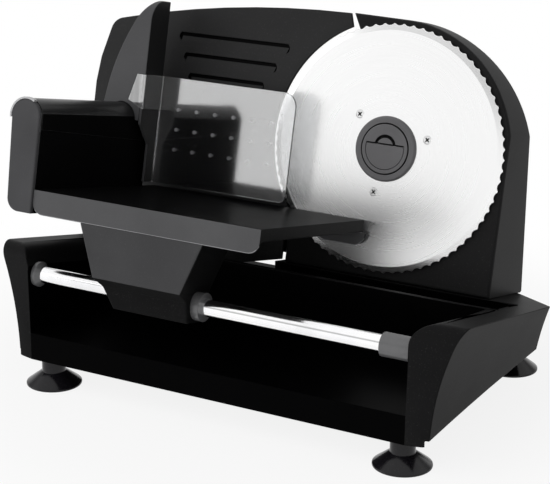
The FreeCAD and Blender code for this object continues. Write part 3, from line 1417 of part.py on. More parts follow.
def make_glide():
    """Shoe under the tray's back, which runs astride the base's rib."""
    body = new_body("tray_glide", upper())
    front = "(-rib_front - blade_axis_y + deck_drop * sin(lean_angle)) / cos(lean_angle)"
    rear = f"{front} + rib_thickness / cos(lean_angle)"
    foot = "-deck_drop - glide_overlap"
    pad(body, "x", "-glide_left", "-glide_right", [
        (f"{front} - glide_wall * 2", "-tray_top - tray_thickness"), (f"{front} - glide_wall * 1.4", foot),
        (f"{front} - glide_wall * 0.4", foot), (f"{front} - glide_wall * 0.4", "-deck_drop + running_gap"),
        (f"{rear} + glide_wall * 0.4", "-deck_drop + running_gap"), (f"{rear} + glide_wall * 0.4", foot),
        (f"{rear} + glide_wall * 1.4", foot), (f"{rear} + glide_wall * 2", "-tray_top - tray_thickness")])


# Pusher

def make_pusher_fin():
    """Handle of the pusher: a block with a rounded brow and a raked left side, astride the hood."""
    body = new_body("pusher_fin", upper())
    low = "-wall_top"
    pad(body, "x", "-handle_left", "-handle_right", [
        ("-handle_front", low), ("-handle_rear", low), ("-handle_rear", "handle_top"),
        ("-handle_front + handle_bend", "handle_top", "handle_bend"),
        ("-handle_front", "handle_top - handle_bend")])
    behind_all = ("-handle_front - cut_overrun", "-handle_rear + cut_overrun")
    pocket(body, "y", *behind_all, [
        ("-handle_left - cut_overrun", f"{low} - cut_overrun"), ("-handle_left", f"{low} - cut_overrun"),
        ("-handle_left", low, "-handle_rake_radius"), ("-handle_top_left", "handle_top + cut_overrun"),
        ("-handle_left - cut_overrun", "handle_top + cut_overrun")])
    channel = "(hood_radius + running_gap)"
    right, left = f"-hood_x + {channel}", f"-hood_x - {channel}"
    pocket(body, "y", *behind_all, [
        (left, f"{low} - cut_overrun"), ("-handle_right - strip_thickness", f"{low} - cut_overrun"),
        ("-handle_right - strip_thickness", low), (right, low, channel), ("-hood_x", f"{low} + {channel}",
                                                                          channel), (left, low)])
    pocket(body, "y", *behind_all, [
        ("-handle_right - strip_thickness - shaft_clearance", f"{low} - cut_overrun"),
        ("-handle_right + cut_overrun", f"{low} - cut_overrun"), ("-handle_right + cut_overrun", "guard_top"),
        ("-handle_right - strip_thickness - shaft_clearance", "guard_top")])
    right = num("-handle_right")
    round_edges(body, "handle_edge", lambda middle, edge: abs(middle.x - right) < num("handle_edge") / 10
                and middle.z > num("guard_top + handle_edge") and middle.y < num("-handle_rear - handle_edge"))


def make_pusher_strip():
    """Side plate under the handle's right face, which reaches down past the hood to the guard."""
    body = new_body("pusher_strip", upper())
    pad(body, "x", "-handle_right - strip_thickness", "-handle_right", [
        ("-handle_front", "-strip_drop"), ("-strip_foot_front", "-strip_drop - strip_slant"),
        ("-strip_foot_front", "-guard_bottom"), ("-guard_front", "-guard_bottom"),
        ("-guard_front", "guard_top - shaft_clearance"), ("-handle_front", "guard_top - shaft_clearance")])


def make_pusher_guard():
    """Clear guard plate of the pusher, with rounded free corners and a flange round the handle."""
    body = new_body("pusher_guard", upper("0", "-guard_front", "0"))
    pad(body, "y", "0", "guard_thickness", [
        ("-handle_right", "-guard_bottom"), ("-guard_right - guard_corner_low", "-guard_bottom",
                                             "guard_corner_low"),
        ("-guard_right", "-guard_bottom + guard_corner_low"), ("-guard_right", "guard_top - guard_corner",
                                                               "guard_corner"),
        ("-guard_right - guard_corner", "guard_top"), ("-handle_right", "guard_top")])
    front = "(guard_front - handle_front - flange_thickness)"
    pad(body, "x", "-handle_right", "-handle_right + flange_thickness", [
        (front, "flange_bottom"), ("guard_thickness / 2", "flange_bottom"),
        ("guard_thickness / 2", "guard_top"), (front, "guard_top")])
    pad(body, "y", front, f"{front} + flange_thickness", [
        ("-handle_right - return_foot_left", "return_foot_height"),
        ("-handle_right", "flange_bottom"), ("-handle_right + flange_thickness / 2", "flange_bottom"),
        ("-handle_right + flange_thickness / 2", "guard_top"), ("-handle_right - return_top_left", "guard_top")])


def make_spikes():
    """Rows of short pegs on the guard's back, which grip the food."""
    left, pitch, top, rows, radius, length, tip, root, back = nums(
        "-spike_left", "spike_pitch", "spike_top", "spike_row_pitch", "spike_radius", "spike_length",
        "spike_tip", "spike_root", "-guard_front + guard_thickness")
    spikes = []
    for row in range(COUNTS["spike_rows"]):
        for column in range(COUNTS["spike_columns"]):
            start = Vector(left + column * pitch, back, top - row * rows)
            along = Vector(0, 1, 0)
            peg = Part.makeCylinder(radius, root, start, along)
            spikes.append(peg.fuse(Part.makeCone(radius, tip, length - root, start + along * root, along)))
    feature("pusher_spikes", Part.makeCompound(spikes), upper())


STEPS = (make_base_frame, make_base_plate, make_feet, make_foot_screws, make_rail, make_blade,
         make_blade_screws, make_hub, make_lock, make_gears, make_gearbox, make_motor, make_housing,
         make_motor_cover, make_cover_screws, make_switch, make_inlet, make_fence, make_fence_guide,
         make_fence_rods, make_knob, make_tray, make_end_wall, make_end_cap, make_hood, make_bracket,
         make_glide, make_pusher_fin, make_pusher_strip, make_pusher_guard, make_spikes)
for make in STEPS:
    make()
doc.recompute()


def check_and_write():
    """Stop on any failed feature, then write each sub-part's own file."""
    failed = [item.Name for item in doc.Objects if {"Invalid", "Error"} & set(item.State)]
    if failed:
        raise RuntimeError("failed: " + ", ".join(failed))
    for node in nodes:
        if node.Shape.isNull() or not node.Shape.isValid() or not node.Shape.Solids:
            raise RuntimeError(f"{node.Label} has no valid solid")
    os.makedirs("parts", exist_ok=True)
    for node in nodes:
        node.Shape.exportStep(os.path.join("parts", node.Label + ".step"))
    whole = FreeCAD.BoundBox()
    for node in nodes:
        whole.add(node.Shape.BoundBox)
    print(len(nodes), "sub-parts", whole)


check_and_write()
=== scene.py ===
import bpy
import json
import math
from mathutils import Matrix, Vector


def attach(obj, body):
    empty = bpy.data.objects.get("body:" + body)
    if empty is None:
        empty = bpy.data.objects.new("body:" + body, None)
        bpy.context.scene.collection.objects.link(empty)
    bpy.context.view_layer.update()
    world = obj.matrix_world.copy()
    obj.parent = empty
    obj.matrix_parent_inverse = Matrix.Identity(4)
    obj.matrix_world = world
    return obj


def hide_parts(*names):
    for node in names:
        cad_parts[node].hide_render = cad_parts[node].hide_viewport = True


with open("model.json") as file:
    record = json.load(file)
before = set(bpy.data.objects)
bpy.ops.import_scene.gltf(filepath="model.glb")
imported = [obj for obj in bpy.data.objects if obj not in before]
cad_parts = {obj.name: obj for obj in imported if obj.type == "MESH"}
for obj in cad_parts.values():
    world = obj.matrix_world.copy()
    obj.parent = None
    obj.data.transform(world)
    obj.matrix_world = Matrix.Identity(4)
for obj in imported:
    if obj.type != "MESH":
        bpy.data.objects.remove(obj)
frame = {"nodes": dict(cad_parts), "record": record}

bl_info = {
    "name": "Countertop food slicer",
    "version": (1, 0, 0),
    "blender": (4, 5, 0),
    "location": "View3D > Sidebar > Slicer",
    "description": "Finishes and fine forms of a countertop food slicer on its packed frame",
    "category": "Object",
}

LEAN = math.radians(13)
BLADE_CENTRE = Vector((0.065, 0.0555, 0.1715))
ALONG = Vector((1, 0, 0))
INWARD = Vector((0, math.cos(LEAN), -math.sin(LEAN)))
UPWARD = Vector((0, math.sin(LEAN), math.cos(LEAN)))
MERGE_DISTANCE = 0.00001
FLAT_ANGLE = math.radians(1)
SHARP_ANGLE = math.radians(32)
SMOOTH_ANGLE = math.radians(30)

# How much of a face's normal must point right, up or forward for the face to count as such; all but
# PLATE_END_FACING pick the faces that get painted shade or a painted highlight
RIGHT_FACING = 0.6
WALL_RIGHT_FACING = 0.5
CREST_RIGHT_FACING = 0.97
PLATE_END_FACING = 0.7
UP_FACING = 0.5
GROOVE_UP_FACING = 0.2
LIP_FORWARD_FACING = 0.25
LIP_DOWN_FACING = (0.25, 0.95)

# The studio
LAMP_PLACE = (-1.9, -1.3, 0.9)
LAMP_SIZE = 1.4
LAMP_POWER = 6.0
FLOOR_SIZE = 12.0
FLOOR_SHADE_REACH = (0.18, 0.45)
FLOOR_WHITE_SHARES = (0.86, 1.0)
FRONT_LIGHT_DIRECTION = (-0.5, -0.8, 0.33)
DIM_BAND = ((0.3, 1.0), (0.42, 0.45), (0.5, 0.45))
DIM_BAND_END = 0.68
SENSOR_WIDTH = 36.0

# Places on the pieces that get a second material, painted shade in each case: the base's well in the world's
# frame, the others as depths and heights in the leaning frame
WELL_MIDDLE = 0.0142
WELL_HALF = 0.1547
WELL_REAR = 0.0349
WELL_TOP = -0.104
BRACKET_FOOT = -0.1115
GROOVE_DEPTHS = (0.0026, 0.0043)
GROOVE_HEIGHTS = (0.026, 0.071)
GROOVE_ENDS = (-0.194, -0.093)
LOCK_HOLLOW_DEPTHS = (-0.0023, 0.0003)
RING_BORE = 0.0198
RING_FACE = -0.0022
SCREW_FACE = 0.0001
# Place and sweep of the pale bar on the cap's rim, a painted highlight
TRIM_CENTRE = (-0.211, -0.0035)
TRIM_RADII = (0.0124, 0.0138)
TRIM_FACES = (-0.1723, -0.169)
TRIM_START = math.radians(60)
TRIM_SWEEP = math.radians(130)


def leaning(x, y, z):
    """Place a point given in the leaning frame of the blade."""
    return BLADE_CENTRE + ALONG * x + INWARD * y + UPWARD * z


def leaning_matrix(x=0.0, y=0.0, z=0.0):
    """Give the leaning frame's matrix with its origin moved to a point in it."""
    matrix = Matrix((ALONG, INWARD, UPWARD)).transposed().to_4x4()
    matrix.translation = leaning(x, y, z)
    return matrix


# Sizes and colours that a user would change

class SlicerFinish(bpy.types.PropertyGroup):
    base_colour: bpy.props.FloatVectorProperty(
        name="Base plastic", description="Colour of the base and its plate", subtype="COLOR", size=4,
        min=0, max=1, default=(0.0105, 0.0105, 0.0108, 1))
    housing_colour: bpy.props.FloatVectorProperty(
        name="Housing plastic", description="Colour of the blade housing and the motor cover",
        subtype="COLOR", size=4, min=0, max=1, default=(0.014, 0.014, 0.0143, 1))
    fence_colour: bpy.props.FloatVectorProperty(
        name="Fence plastic", description="Colour of the thickness fence", subtype="COLOR", size=4,
        min=0, max=1, default=(0.022, 0.022, 0.0225, 1))
    tray_colour: bpy.props.FloatVectorProperty(
        name="Apron plastic", description="Colour of the tray's apron", subtype="COLOR", size=4,
        min=0, max=1, default=(0.09, 0.09, 0.093, 1))
    carriage_colour: bpy.props.FloatVectorProperty(
        name="Carriage plastic", description="Colour of the carriage and the pusher", subtype="COLOR",
        size=4, min=0, max=1, default=(0.066, 0.066, 0.069, 1))
    # Near-black glossy colour: the switch rocker's own, and painted shade on the tray's top and on the
    # right-facing sides of the wall and hood
    gloss_and_shade_colour: bpy.props.FloatVectorProperty(
        name="Gloss black and painted shade", description="Colour of the switch rocker, and painted shade on the tray's top and on the right sides of the wall and hood",
        subtype="COLOR",
        size=4, min=0, max=1, default=(0.004, 0.004, 0.0042, 1))
    hood_colour: bpy.props.FloatVectorProperty(
        name="Hood plastic", description="Colour of the hood over the carriage's end wall",
        subtype="COLOR", size=4, min=0, max=1, default=(0.016, 0.016, 0.0165, 1))
    bracket_colour: bpy.props.FloatVectorProperty(
        name="Bracket plastic", description="Colour of the bracket under the carriage", subtype="COLOR",
        size=4, min=0, max=1, default=(0.06, 0.06, 0.062, 1))
    hub_colour: bpy.props.FloatVectorProperty(
        name="Hub plastic", description="Colour of the blade's hub and its lock", subtype="COLOR", size=4,
        min=0, max=1, default=(0.135, 0.133, 0.138, 1))
    edge_rounding: bpy.props.FloatProperty(
        name="Edge rounding", description="Radius that catches the light along moulded edges",
        subtype="DISTANCE", unit="LENGTH", default=0.0006, min=0)


class SlicerStudio(bpy.types.PropertyGroup):
    lens: bpy.props.FloatProperty(
        name="Lens", description="Focal length in millimetres on a 36 mm wide sensor", default=113.2, min=1)
    azimuth: bpy.props.FloatProperty(
        name="Azimuth", description="Camera's turn to the right of the front", subtype="ANGLE",
        unit="ROTATION", default=math.radians(28.65))
    elevation: bpy.props.FloatProperty(
        name="Elevation", description="Camera's angle above the table", subtype="ANGLE", unit="ROTATION",
        default=math.radians(18.18))
    roll: bpy.props.FloatProperty(
        name="Roll", description="Camera's turn about its own axis", subtype="ANGLE", unit="ROTATION",
        default=math.radians(0.5))
    place: bpy.props.FloatVectorProperty(
        name="Camera place", description="Where the camera stands", subtype="XYZ", unit="LENGTH", size=3,
        default=(0.6006, -1.0992, 0.5134))
    ambient: bpy.props.FloatProperty(
        name="Ambient light", description="Strength of the even light from all round", default=0.26, min=0)
    front_light: bpy.props.FloatProperty(
        name="Front light", description="Strength of the wide soft light from the front left", default=1.5,
        min=0)


# Node groups and materials

def new_group(name, inputs, outputs):
    """Start a shader node group with its sockets and its two end nodes."""
    group = bpy.data.node_groups.new(name, "ShaderNodeTree")
    for kind, label, value in inputs:
        socket = group.interface.new_socket(label, in_out="INPUT", socket_type="NodeSocket" + kind)
        if value is not None:
            socket.default_value = value
    for kind, label in outputs:
        group.interface.new_socket(label, in_out="OUTPUT", socket_type="NodeSocket" + kind)
    start = group.nodes.new("NodeGroupInput")
    end = group.nodes.new("NodeGroupOutput")
    return group, start, end


def add_node(tree, kind, settings=None, **inputs):
    """Add a node, set its properties and either link or set its inputs."""
    node = tree.nodes.new("ShaderNode" + kind)
    for name, value in (settings or {}).items():
        setattr(node, name, value)
    for name, value in inputs.items():
        socket = node.inputs[int(name[1:])] if name[0] == "i" and name[1:].isdigit() else \
            node.inputs[name.replace("_", " ")]
        if isinstance(value, bpy.types.NodeSocket):
            tree.links.new(value, socket)
        else:
            socket.default_value = value
    return node


def math_node(tree, operation, first, second=0.0):
    """Add a Math node and give its result."""
    return add_node(tree, "Math", {"operation": operation}, i0=first, i1=second).outputs[0]


def build_moulded_group():
    """Moulded plastic: fine spark-eroded grain, cloudy sheen, sparse pale dust."""
    group, start, end = new_group(
        "Moulded surface",
        [("Vector", "Vector", None), ("Color", "Colour", (0.02, 0.02, 0.02, 1)), ("Float", "Roughness", 0.4),
         ("Float", "Grain size", 0.0006), ("Float", "Cloud", 0.1), ("Float", "Dust", 0.1)],
        [("Color", "Colour"), ("Float", "Roughness"), ("Float", "Height")])
    vector = start.outputs["Vector"]
    scale = math_node(group, "DIVIDE", 1.0, start.outputs["Grain size"])
    grain = add_node(group, "TexNoise", None, Vector=vector, Scale=scale, Detail=2.0, Roughness=0.6)
    cloud = add_node(group, "TexNoise", None, Vector=vector, Scale=22.0, Detail=4.0, Roughness=0.55)
    centred = math_node(group, "SUBTRACT", cloud.outputs[0], 0.5)
    swing = math_node(group, "MULTIPLY", centred, start.outputs["Cloud"])
    rough = math_node(group, "ADD", start.outputs["Roughness"], swing)
    specks = add_node(group, "TexNoise", None, Vector=vector, Scale=1300.0, Detail=0.0)
    speck = add_node(group, "MapRange", {"interpolation_type": "SMOOTHSTEP"}, Value=specks.outputs[0],
                     From_Min=0.70, From_Max=0.80)
    dust = math_node(group, "MULTIPLY", speck.outputs[0], start.outputs["Dust"])
    tone = add_node(group, "MapRange", None, Value=cloud.outputs[0], From_Min=0.25, From_Max=0.75,
                    To_Min=0.88, To_Max=1.12)
    shaded = add_node(group, "VectorMath", {"operation": "SCALE"}, i0=start.outputs["Colour"],
                      Scale=tone.outputs[0])
    dusty = add_node(group, "Mix", {"data_type": "RGBA"}, i0=dust, i6=shaded.outputs[0],
                     i7=(0.35, 0.34, 0.33, 1))
    group.links.new(dusty.outputs[2], end.inputs["Colour"])
    group.links.new(rough, end.inputs["Roughness"])
    group.links.new(grain.outputs[0], end.inputs["Height"])
    return group


def build_brushed_group():
    """Metal turned or ground about the blade's axis: fine rings in height and in sheen."""
    group, start, end = new_group(
        "Ground rings",
        [("Vector", "Vector", None), ("Float", "Ring pitch", 0.0002), ("Float", "Roughness", 0.25),
         ("Float", "Spread", 0.08)],
        [("Float", "Roughness"), ("Float", "Height"), ("Float", "Tone")])
    parts = add_node(group, "SeparateXYZ", None, i0=start.outputs["Vector"])
    angle = math_node(group, "ARCTAN2", parts.outputs[0], parts.outputs[2])
    flat = add_node(group, "CombineXYZ", None, X=parts.outputs[0], Y=0.0, Z=parts.outputs[2])
    radius = add_node(group, "VectorMath", {"operation": "LENGTH"}, i0=flat.outputs[0]).outputs["Value"]
    rings = math_node(group, "DIVIDE", radius, start.outputs["Ring pitch"])
    around = math_node(group, "MULTIPLY", angle, 1.6)
    polar = add_node(group, "CombineXYZ", None, X=rings, Y=around, Z=0.0)
    lines = add_node(group, "TexNoise", None, Vector=polar.outputs[0], Scale=1.0, Detail=3.0, Roughness=0.7)
    coarse = add_node(group, "VectorMath", {"operation": "MULTIPLY"}, i0=polar.outputs[0],
                      i1=(0.12, 0.8, 0.0))
    bands = add_node(group, "TexNoise", None, Vector=coarse.outputs[0], Scale=1.0, Detail=2.0)
    swing = math_node(group, "MULTIPLY", math_node(group, "SUBTRACT", bands.outputs[0], 0.5),
                      start.outputs["Spread"])
    rough = math_node(group, "ADD", start.outputs["Roughness"], swing)
    tone = add_node(group, "MapRange", None, Value=bands.outputs[0], From_Min=0.3, From_Max=0.7,
                    To_Min=0.985, To_Max=1.01)
    group.links.new(rough, end.inputs["Roughness"])
    group.links.new(lines.outputs[0], end.inputs["Height"])
    group.links.new(tone.outputs[0], end.inputs["Tone"])
    return group


GROUPS = {}


def shared_group(name):
    """Give a shared node group, built the first time it is asked for."""
    makers = {"moulded": build_moulded_group, "rings": build_brushed_group}
    if name not in GROUPS:
        GROUPS[name] = makers[name]()
    return GROUPS[name]


def new_material(name):
    """Start a node material and give it with its shader, its output and object coordinates."""
    material = bpy.data.materials.new(name)
    material.use_nodes = True
    tree = material.node_tree
    shader = tree.nodes["Principled BSDF"]
    coordinates = add_node(tree, "TexCoord").outputs["Object"]
    return material, tree, shader, coordinates


def soft_edges(tree, shader, height, depth):
    """Round the sharp edges in the shading and lay a fine relief over them."""
    edges = add_node(tree, "Bevel", {"samples": 6}, Radius=bpy.context.scene.slicer_finish.edge_rounding)
    bump = add_node(tree, "Bump", None, Height=height, Distance=depth, Strength=1.0,
                    Normal=edges.outputs[0])
    tree.links.new(bump.outputs[0], shader.inputs["Normal"])


def plastic(name, colour, roughness, specular, grain=0.0007, depth=0.00002, cloud=0.08, dust=0.05):
    """Moulded plastic with its grain, cloudy sheen and a little dust."""
    material, tree, shader, coordinates = new_material(name)
    moulded = tree.nodes.new("ShaderNodeGroup")
    moulded.node_tree = shared_group("moulded")
    tree.links.new(coordinates, moulded.inputs["Vector"])
    moulded.inputs["Colour"].default_value = tuple(colour)
    moulded.inputs["Roughness"].default_value = roughness
    moulded.inputs["Grain size"].default_value = grain
    moulded.inputs["Cloud"].default_value = cloud
    moulded.inputs["Dust"].default_value = dust
    tree.links.new(moulded.outputs["Colour"], shader.inputs["Base Color"])
    tree.links.new(moulded.outputs["Roughness"], shader.inputs["Roughness"])
    shader.inputs["Specular IOR Level"].default_value = specular
    soft_edges(tree, shader, moulded.outputs["Height"], depth)
    return material


def metal(name, colour, roughness, cloud=0.1):
    """Plain worked metal with a fine grain and smudged sheen."""
    material = plastic(name, colour, roughness, 0.5, 0.0004, 0.000004, cloud, 0.0)
    material.node_tree.nodes["Principled BSDF"].inputs["Metallic"].default_value = 1.0
    return material


def ground_steel(name, colour, roughness, pitch, depth, spread):
    """Bright steel ground in rings about the blade's axis."""
    material, tree, shader, coordinates = new_material(name)
    centred = add_node(tree, "Mapping", {"vector_type": "TEXTURE"}, Vector=coordinates,
                       Location=BLADE_CENTRE, Rotation=(-LEAN, 0, 0))
    rings = tree.nodes.new("ShaderNodeGroup")
    rings.node_tree = shared_group("rings")
    tree.links.new(centred.outputs[0], rings.inputs["Vector"])
    rings.inputs["Ring pitch"].default_value = pitch
    rings.inputs["Roughness"].default_value = roughness
    rings.inputs["Spread"].default_value = spread
    tone = add_node(tree, "VectorMath", {"operation": "SCALE"}, i0=tuple(colour)[:3],
                    Scale=rings.outputs["Tone"])
    tree.links.new(tone.outputs[0], shader.inputs["Base Color"])
    tree.links.new(rings.outputs["Roughness"], shader.inputs["Roughness"])
    shader.inputs["Metallic"].default_value = 1.0
    soft_edges(tree, shader, rings.outputs["Height"], depth)
    return material


def clear_plastic(name, coat=1.0):
    """Clear moulded plastic, smooth with faint clouding, under a bright coat or plain."""
    material, tree, shader, coordinates = new_material(name)
    haze = add_node(tree, "TexNoise", None, Vector=coordinates, Scale=40.0, Detail=3.0)
    rough = add_node(tree, "MapRange", None, Value=haze.outputs[0], To_Min=0.03, To_Max=0.12)
    tree.links.new(rough.outputs[0], shader.inputs["Roughness"])
    shader.inputs["Base Color"].default_value = (0.96, 0.97, 0.98, 1)
    shader.inputs["Transmission Weight"].default_value = 1.0
    shader.inputs["IOR"].default_value = 1.46
    shader.inputs["Coat Weight"].default_value = coat
    shader.inputs["Coat IOR"].default_value = 3.6
    shader.inputs["Coat Roughness"].default_value = 0.06
    soft_edges(tree, shader, haze.outputs[0], 0.00001)
    return material


def finish_nodes(material, *names):
    """Give CAD nodes a material through their objects' own slots."""
    for name in names:
        for slot in frame["nodes"][name].material_slots:
            slot.link = "OBJECT"
            slot.material = material


# Modelling helpers

def select_only(piece):
    """Select one object alone and make it the active one."""
    bpy.ops.object.select_all(action="DESELECT")
    piece.select_set(True)
    bpy.context.view_layer.objects.active = piece


def smooth(piece):
    """Shade a piece smooth but for its sharp edges."""
    select_only(piece)
    bpy.ops.object.shade_smooth_by_angle(angle=SMOOTH_ANGLE)


def merged_copy(node):
    """Copy a CAD node's mesh as a new piece with its doubled points merged and its flats whole."""
    source = frame["nodes"][node]
    bpy.ops.object.select_all(action="DESELECT")
    piece = bpy.data.objects.new(node + "_finished", source.data.copy())
    bpy.context.scene.collection.objects.link(piece)
    piece.data.materials.clear()
    select_only(piece)
    bpy.ops.object.mode_set(mode="EDIT")
    bpy.ops.mesh.select_all(action="SELECT")
    bpy.ops.mesh.customdata_custom_splitnormals_clear()
    bpy.ops.mesh.remove_doubles(threshold=MERGE_DISTANCE)
    bpy.ops.mesh.dissolve_limited(angle_limit=FLAT_ANGLE)
    bpy.ops.object.mode_set(mode="OBJECT")
    return piece


def rounded_copy(node, material, width=0.0005, segments=2):
    """Make a piece that stands for a CAD node, with its sharp edges rounded in the mesh."""
    piece = merged_copy(node)
    bevel = piece.modifiers.new("Rounded edges", "BEVEL")
    bevel.limit_method = "ANGLE"
    bevel.angle_limit = SHARP_ANGLE
    bevel.width = width
    bevel.segments = segments
    bevel.use_clamp_overlap = False
    bpy.ops.object.modifier_apply(modifier=bevel.name)
    bpy.ops.object.shade_smooth_by_angle(angle=SHARP_ANGLE)
    evened = piece.modifiers.new("Even shading", "WEIGHTED_NORMAL")
    evened.keep_sharp = True
    bpy.ops.object.modifier_apply(modifier=evened.name)
    piece.data.materials.append(material)
    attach(piece, body_with(node))
    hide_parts(node)
    return piece


def body_with(node):
    """Find the body that a CAD node rides on."""
    bodies = frame["record"]["behaviour"]["bodies"]
    return next(body for body, nodes in bodies.items() if node in nodes)


def height_of(place):
    """Give a point's height in the leaning frame."""
    return (place - BLADE_CENTRE).dot(UPWARD)


def depth_of(place):
    """Give how far a point lies behind the blade's face."""
    return (place - BLADE_CENTRE).dot(INWARD)


def spun_bar(name, centre, radii, faces, start, sweep, steps=26):
    """Model a bar of rectangular section bent about a line that runs inward through a point."""
    inner, outer = radii
    front, rear = faces
    bpy.ops.object.select_all(action="DESELECT")
    bpy.ops.mesh.primitive_plane_add(size=1)
    piece = bpy.context.active_object
    piece.name = name
    piece.matrix_world = (leaning_matrix(centre[0], 0, centre[1]) @ Matrix.Rotation(-start, 4, "Y")
                          @ Matrix.Translation(((inner + outer) / 2, (front + rear) / 2, 0))
                          @ Matrix.Diagonal((outer - inner, rear - front, 1, 1)))
    bpy.ops.object.transform_apply(location=True, rotation=True, scale=True)
    bpy.ops.object.mode_set(mode="EDIT")
    bpy.ops.mesh.select_all(action="SELECT")
    bpy.ops.mesh.spin(steps=steps, angle=sweep, center=leaning(centre[0], 0, centre[1]), axis=INWARD)
    bpy.ops.mesh.select_all(action="SELECT")
    bpy.ops.mesh.remove_doubles(threshold=0.000001)
    bpy.ops.mesh.select_all(action="DESELECT")
    bpy.ops.mesh.select_non_manifold()
    bpy.ops.mesh.fill_holes(sides=4)
    bpy.ops.mesh.select_all(action="SELECT")
    bpy.ops.mesh.normals_make_consistent(inside=False)
    bpy.ops.object.mode_set(mode="OBJECT")
    return piece


def paint_faces(piece, material, wanted):
    """Give a second material to the faces whose middle and normal pass a test."""
    piece.data.materials.append(material)
    number = len(piece.data.materials) - 1
    for polygon in piece.data.polygons:
        if wanted(polygon.center, polygon.normal):
            polygon.material_index = number


# Operators, one for each group of pieces

class SLICER_OT_base(bpy.types.Operator):
    """Finish the base, its plate and its suction feet"""
    bl_idname = "slicer.base"
    bl_label = "Base and feet"

    def execute(self, context):
        finish = context.scene.slicer_finish
        satin = plastic("Base plastic", finish.base_colour, 0.45, 0.03)
        finish_nodes(satin, "base_plate")
        base = rounded_copy("base_frame", satin, 0.0008, 3)
        # Painted shade: the well's faces behind the rail get a near-black dull material standing in for the
        # shade there.
        well_shade = plastic("Well painted shade", (0.0008, 0.0008, 0.0009, 1), 0.3, 0.015, dust=0.005)
        paint_faces(base, well_shade, lambda place, normal: abs(place.x - WELL_MIDDLE) < WELL_HALF
                    and place.y < WELL_REAR and height_of(place) < WELL_TOP)
        rubber = plastic("Foot rubber", (0.006, 0.0055, 0.007, 1), 0.16, 0.3, cloud=0.04, dust=0.04)
        for node in ("foot_front_left", "foot_front_right", "foot_rear_left", "foot_rear_right"):
            rounded_copy(node, rubber, 0.0004)
        finish_nodes(rubber, "lead_inlet")
        finish_nodes(metal("Screw steel", (0.6, 0.6, 0.6, 1), 0.3), "foot_screws", "cover_screws",
                     "tab_pin", "switch_pin", "blade_spindle", "motor_pinion")
        return {"FINISHED"}


class SLICER_OT_rail(bpy.types.Operator):
    """Finish the chrome rail and its collars"""
    bl_idname = "slicer.rail"
    bl_label = "Rail and collars"

    def execute(self, context):
        finish_nodes(metal("Rail chrome", (0.97, 0.97, 0.98, 1), 0.13, cloud=0.04), "slide_rail",
                     "fence_rod_left", "fence_rod_right")
        finish_nodes(plastic("Collar plastic", (0.12, 0.12, 0.123, 1), 0.18, 0.5),
                     "rail_collar_left", "rail_collar_right", "rail_bush_left", "rail_bush_right",
                     "tray_glide", "thickness_knob")
        return {"FINISHED"}


class SLICER_OT_housing(bpy.types.Operator):
    """Finish the blade housing, the motor cover and the fence"""
    bl_idname = "slicer.housing"
    bl_label = "Housing, cover and fence"

    def execute(self, context):
        finish = context.scene.slicer_finish
        satin = plastic("Housing plastic", finish.housing_colour, 0.45, 0.05)
        finish_nodes(satin, "fence_guide")
        for node in ("blade_housing", "motor_cover"):
            rounded_copy(node, satin, 0.0006)
        fence = rounded_copy("fence_plate", plastic("Fence plastic", finish.fence_colour, 0.45, 0.12),
                             0.0005)
        # Painted shade: a near-black material for the grooves' deep floors and upper and end walls, standing
        # in for the shade under their top edges.
        hollow_shade = plastic("Groove painted shade", (0.001, 0.001, 0.0011, 1), 0.4, 0.03, dust=0.01)
        paint_faces(fence, hollow_shade, self.in_groove)
        return {"FINISHED"}

    def in_groove(self, place, normal):
        """Tell the grooves' deep floors and their upper and end walls, which get painted shade, from the
        fence's flat front.
        """
        along = place.x - BLADE_CENTRE.x
        within = (GROOVE_DEPTHS[0] < depth_of(place) < GROOVE_DEPTHS[1]
                  and GROOVE_HEIGHTS[0] < height_of(place) < GROOVE_HEIGHTS[1]
                  and GROOVE_ENDS[0] < along < GROOVE_ENDS[1])
        return within and normal.dot(UPWARD) < GROOVE_UP_FACING


class SLICER_OT_blade(bpy.types.Operator):
    """Finish the blade, its hub and the lock"""
    bl_idname = "slicer.blade"
    bl_label = "Blade and hub"

    def execute(self, context):
        finish = context.scene.slicer_finish
        finish_nodes(ground_steel("Blade steel", (0.95, 0.95, 0.95, 1), 0.27, 0.00022, 0.0000005, 0.03),
                     "slicing_blade")
        grey = plastic("Hub plastic", finish.hub_colour, 0.45, 0.2)
        # Painted shade: a near-black material for the lock's recess and the ring's bore, standing in for the
        # shade in these gaps.
        hollow_shade = plastic("Hub recess painted shade", (0.003, 0.003, 0.003, 1), 0.5, 0.05)
        rounded_copy("lock_tab", grey, 0.0004)
        lock = rounded_copy("blade_lock", grey, 0.0003)
        paint_faces(lock, hollow_shade, lambda place, normal:
                    LOCK_HOLLOW_DEPTHS[0] < depth_of(place) < LOCK_HOLLOW_DEPTHS[1])
        ring = rounded_copy("hub_ring", grey, 0.0004)
        paint_faces(ring, hollow_shade, self.in_bore)
        bright = metal("Blade screw steel", (0.85, 0.85, 0.85, 1), 0.35)
        screws = rounded_copy("blade_screws", bright, 0.00005)
        # Painted shade: the screws' cross recesses get a near-black material standing in for the shade
        # inside them.
        recess_shade = plastic("Screw recess painted shade", (0.004, 0.004, 0.004, 1), 0.5, 0.05)
        paint_faces(screws, recess_shade, lambda place, normal: depth_of(place) > SCREW_FACE)
        return {"FINISHED"}


    def in_bore(self, place, normal):
        """Tell the ring's bore and floor, which get painted shade, from its face and its outer rim."""
        radius = math.hypot(place.x - BLADE_CENTRE.x, height_of(place))
        return radius < RING_BORE and depth_of(place) > RING_FACE


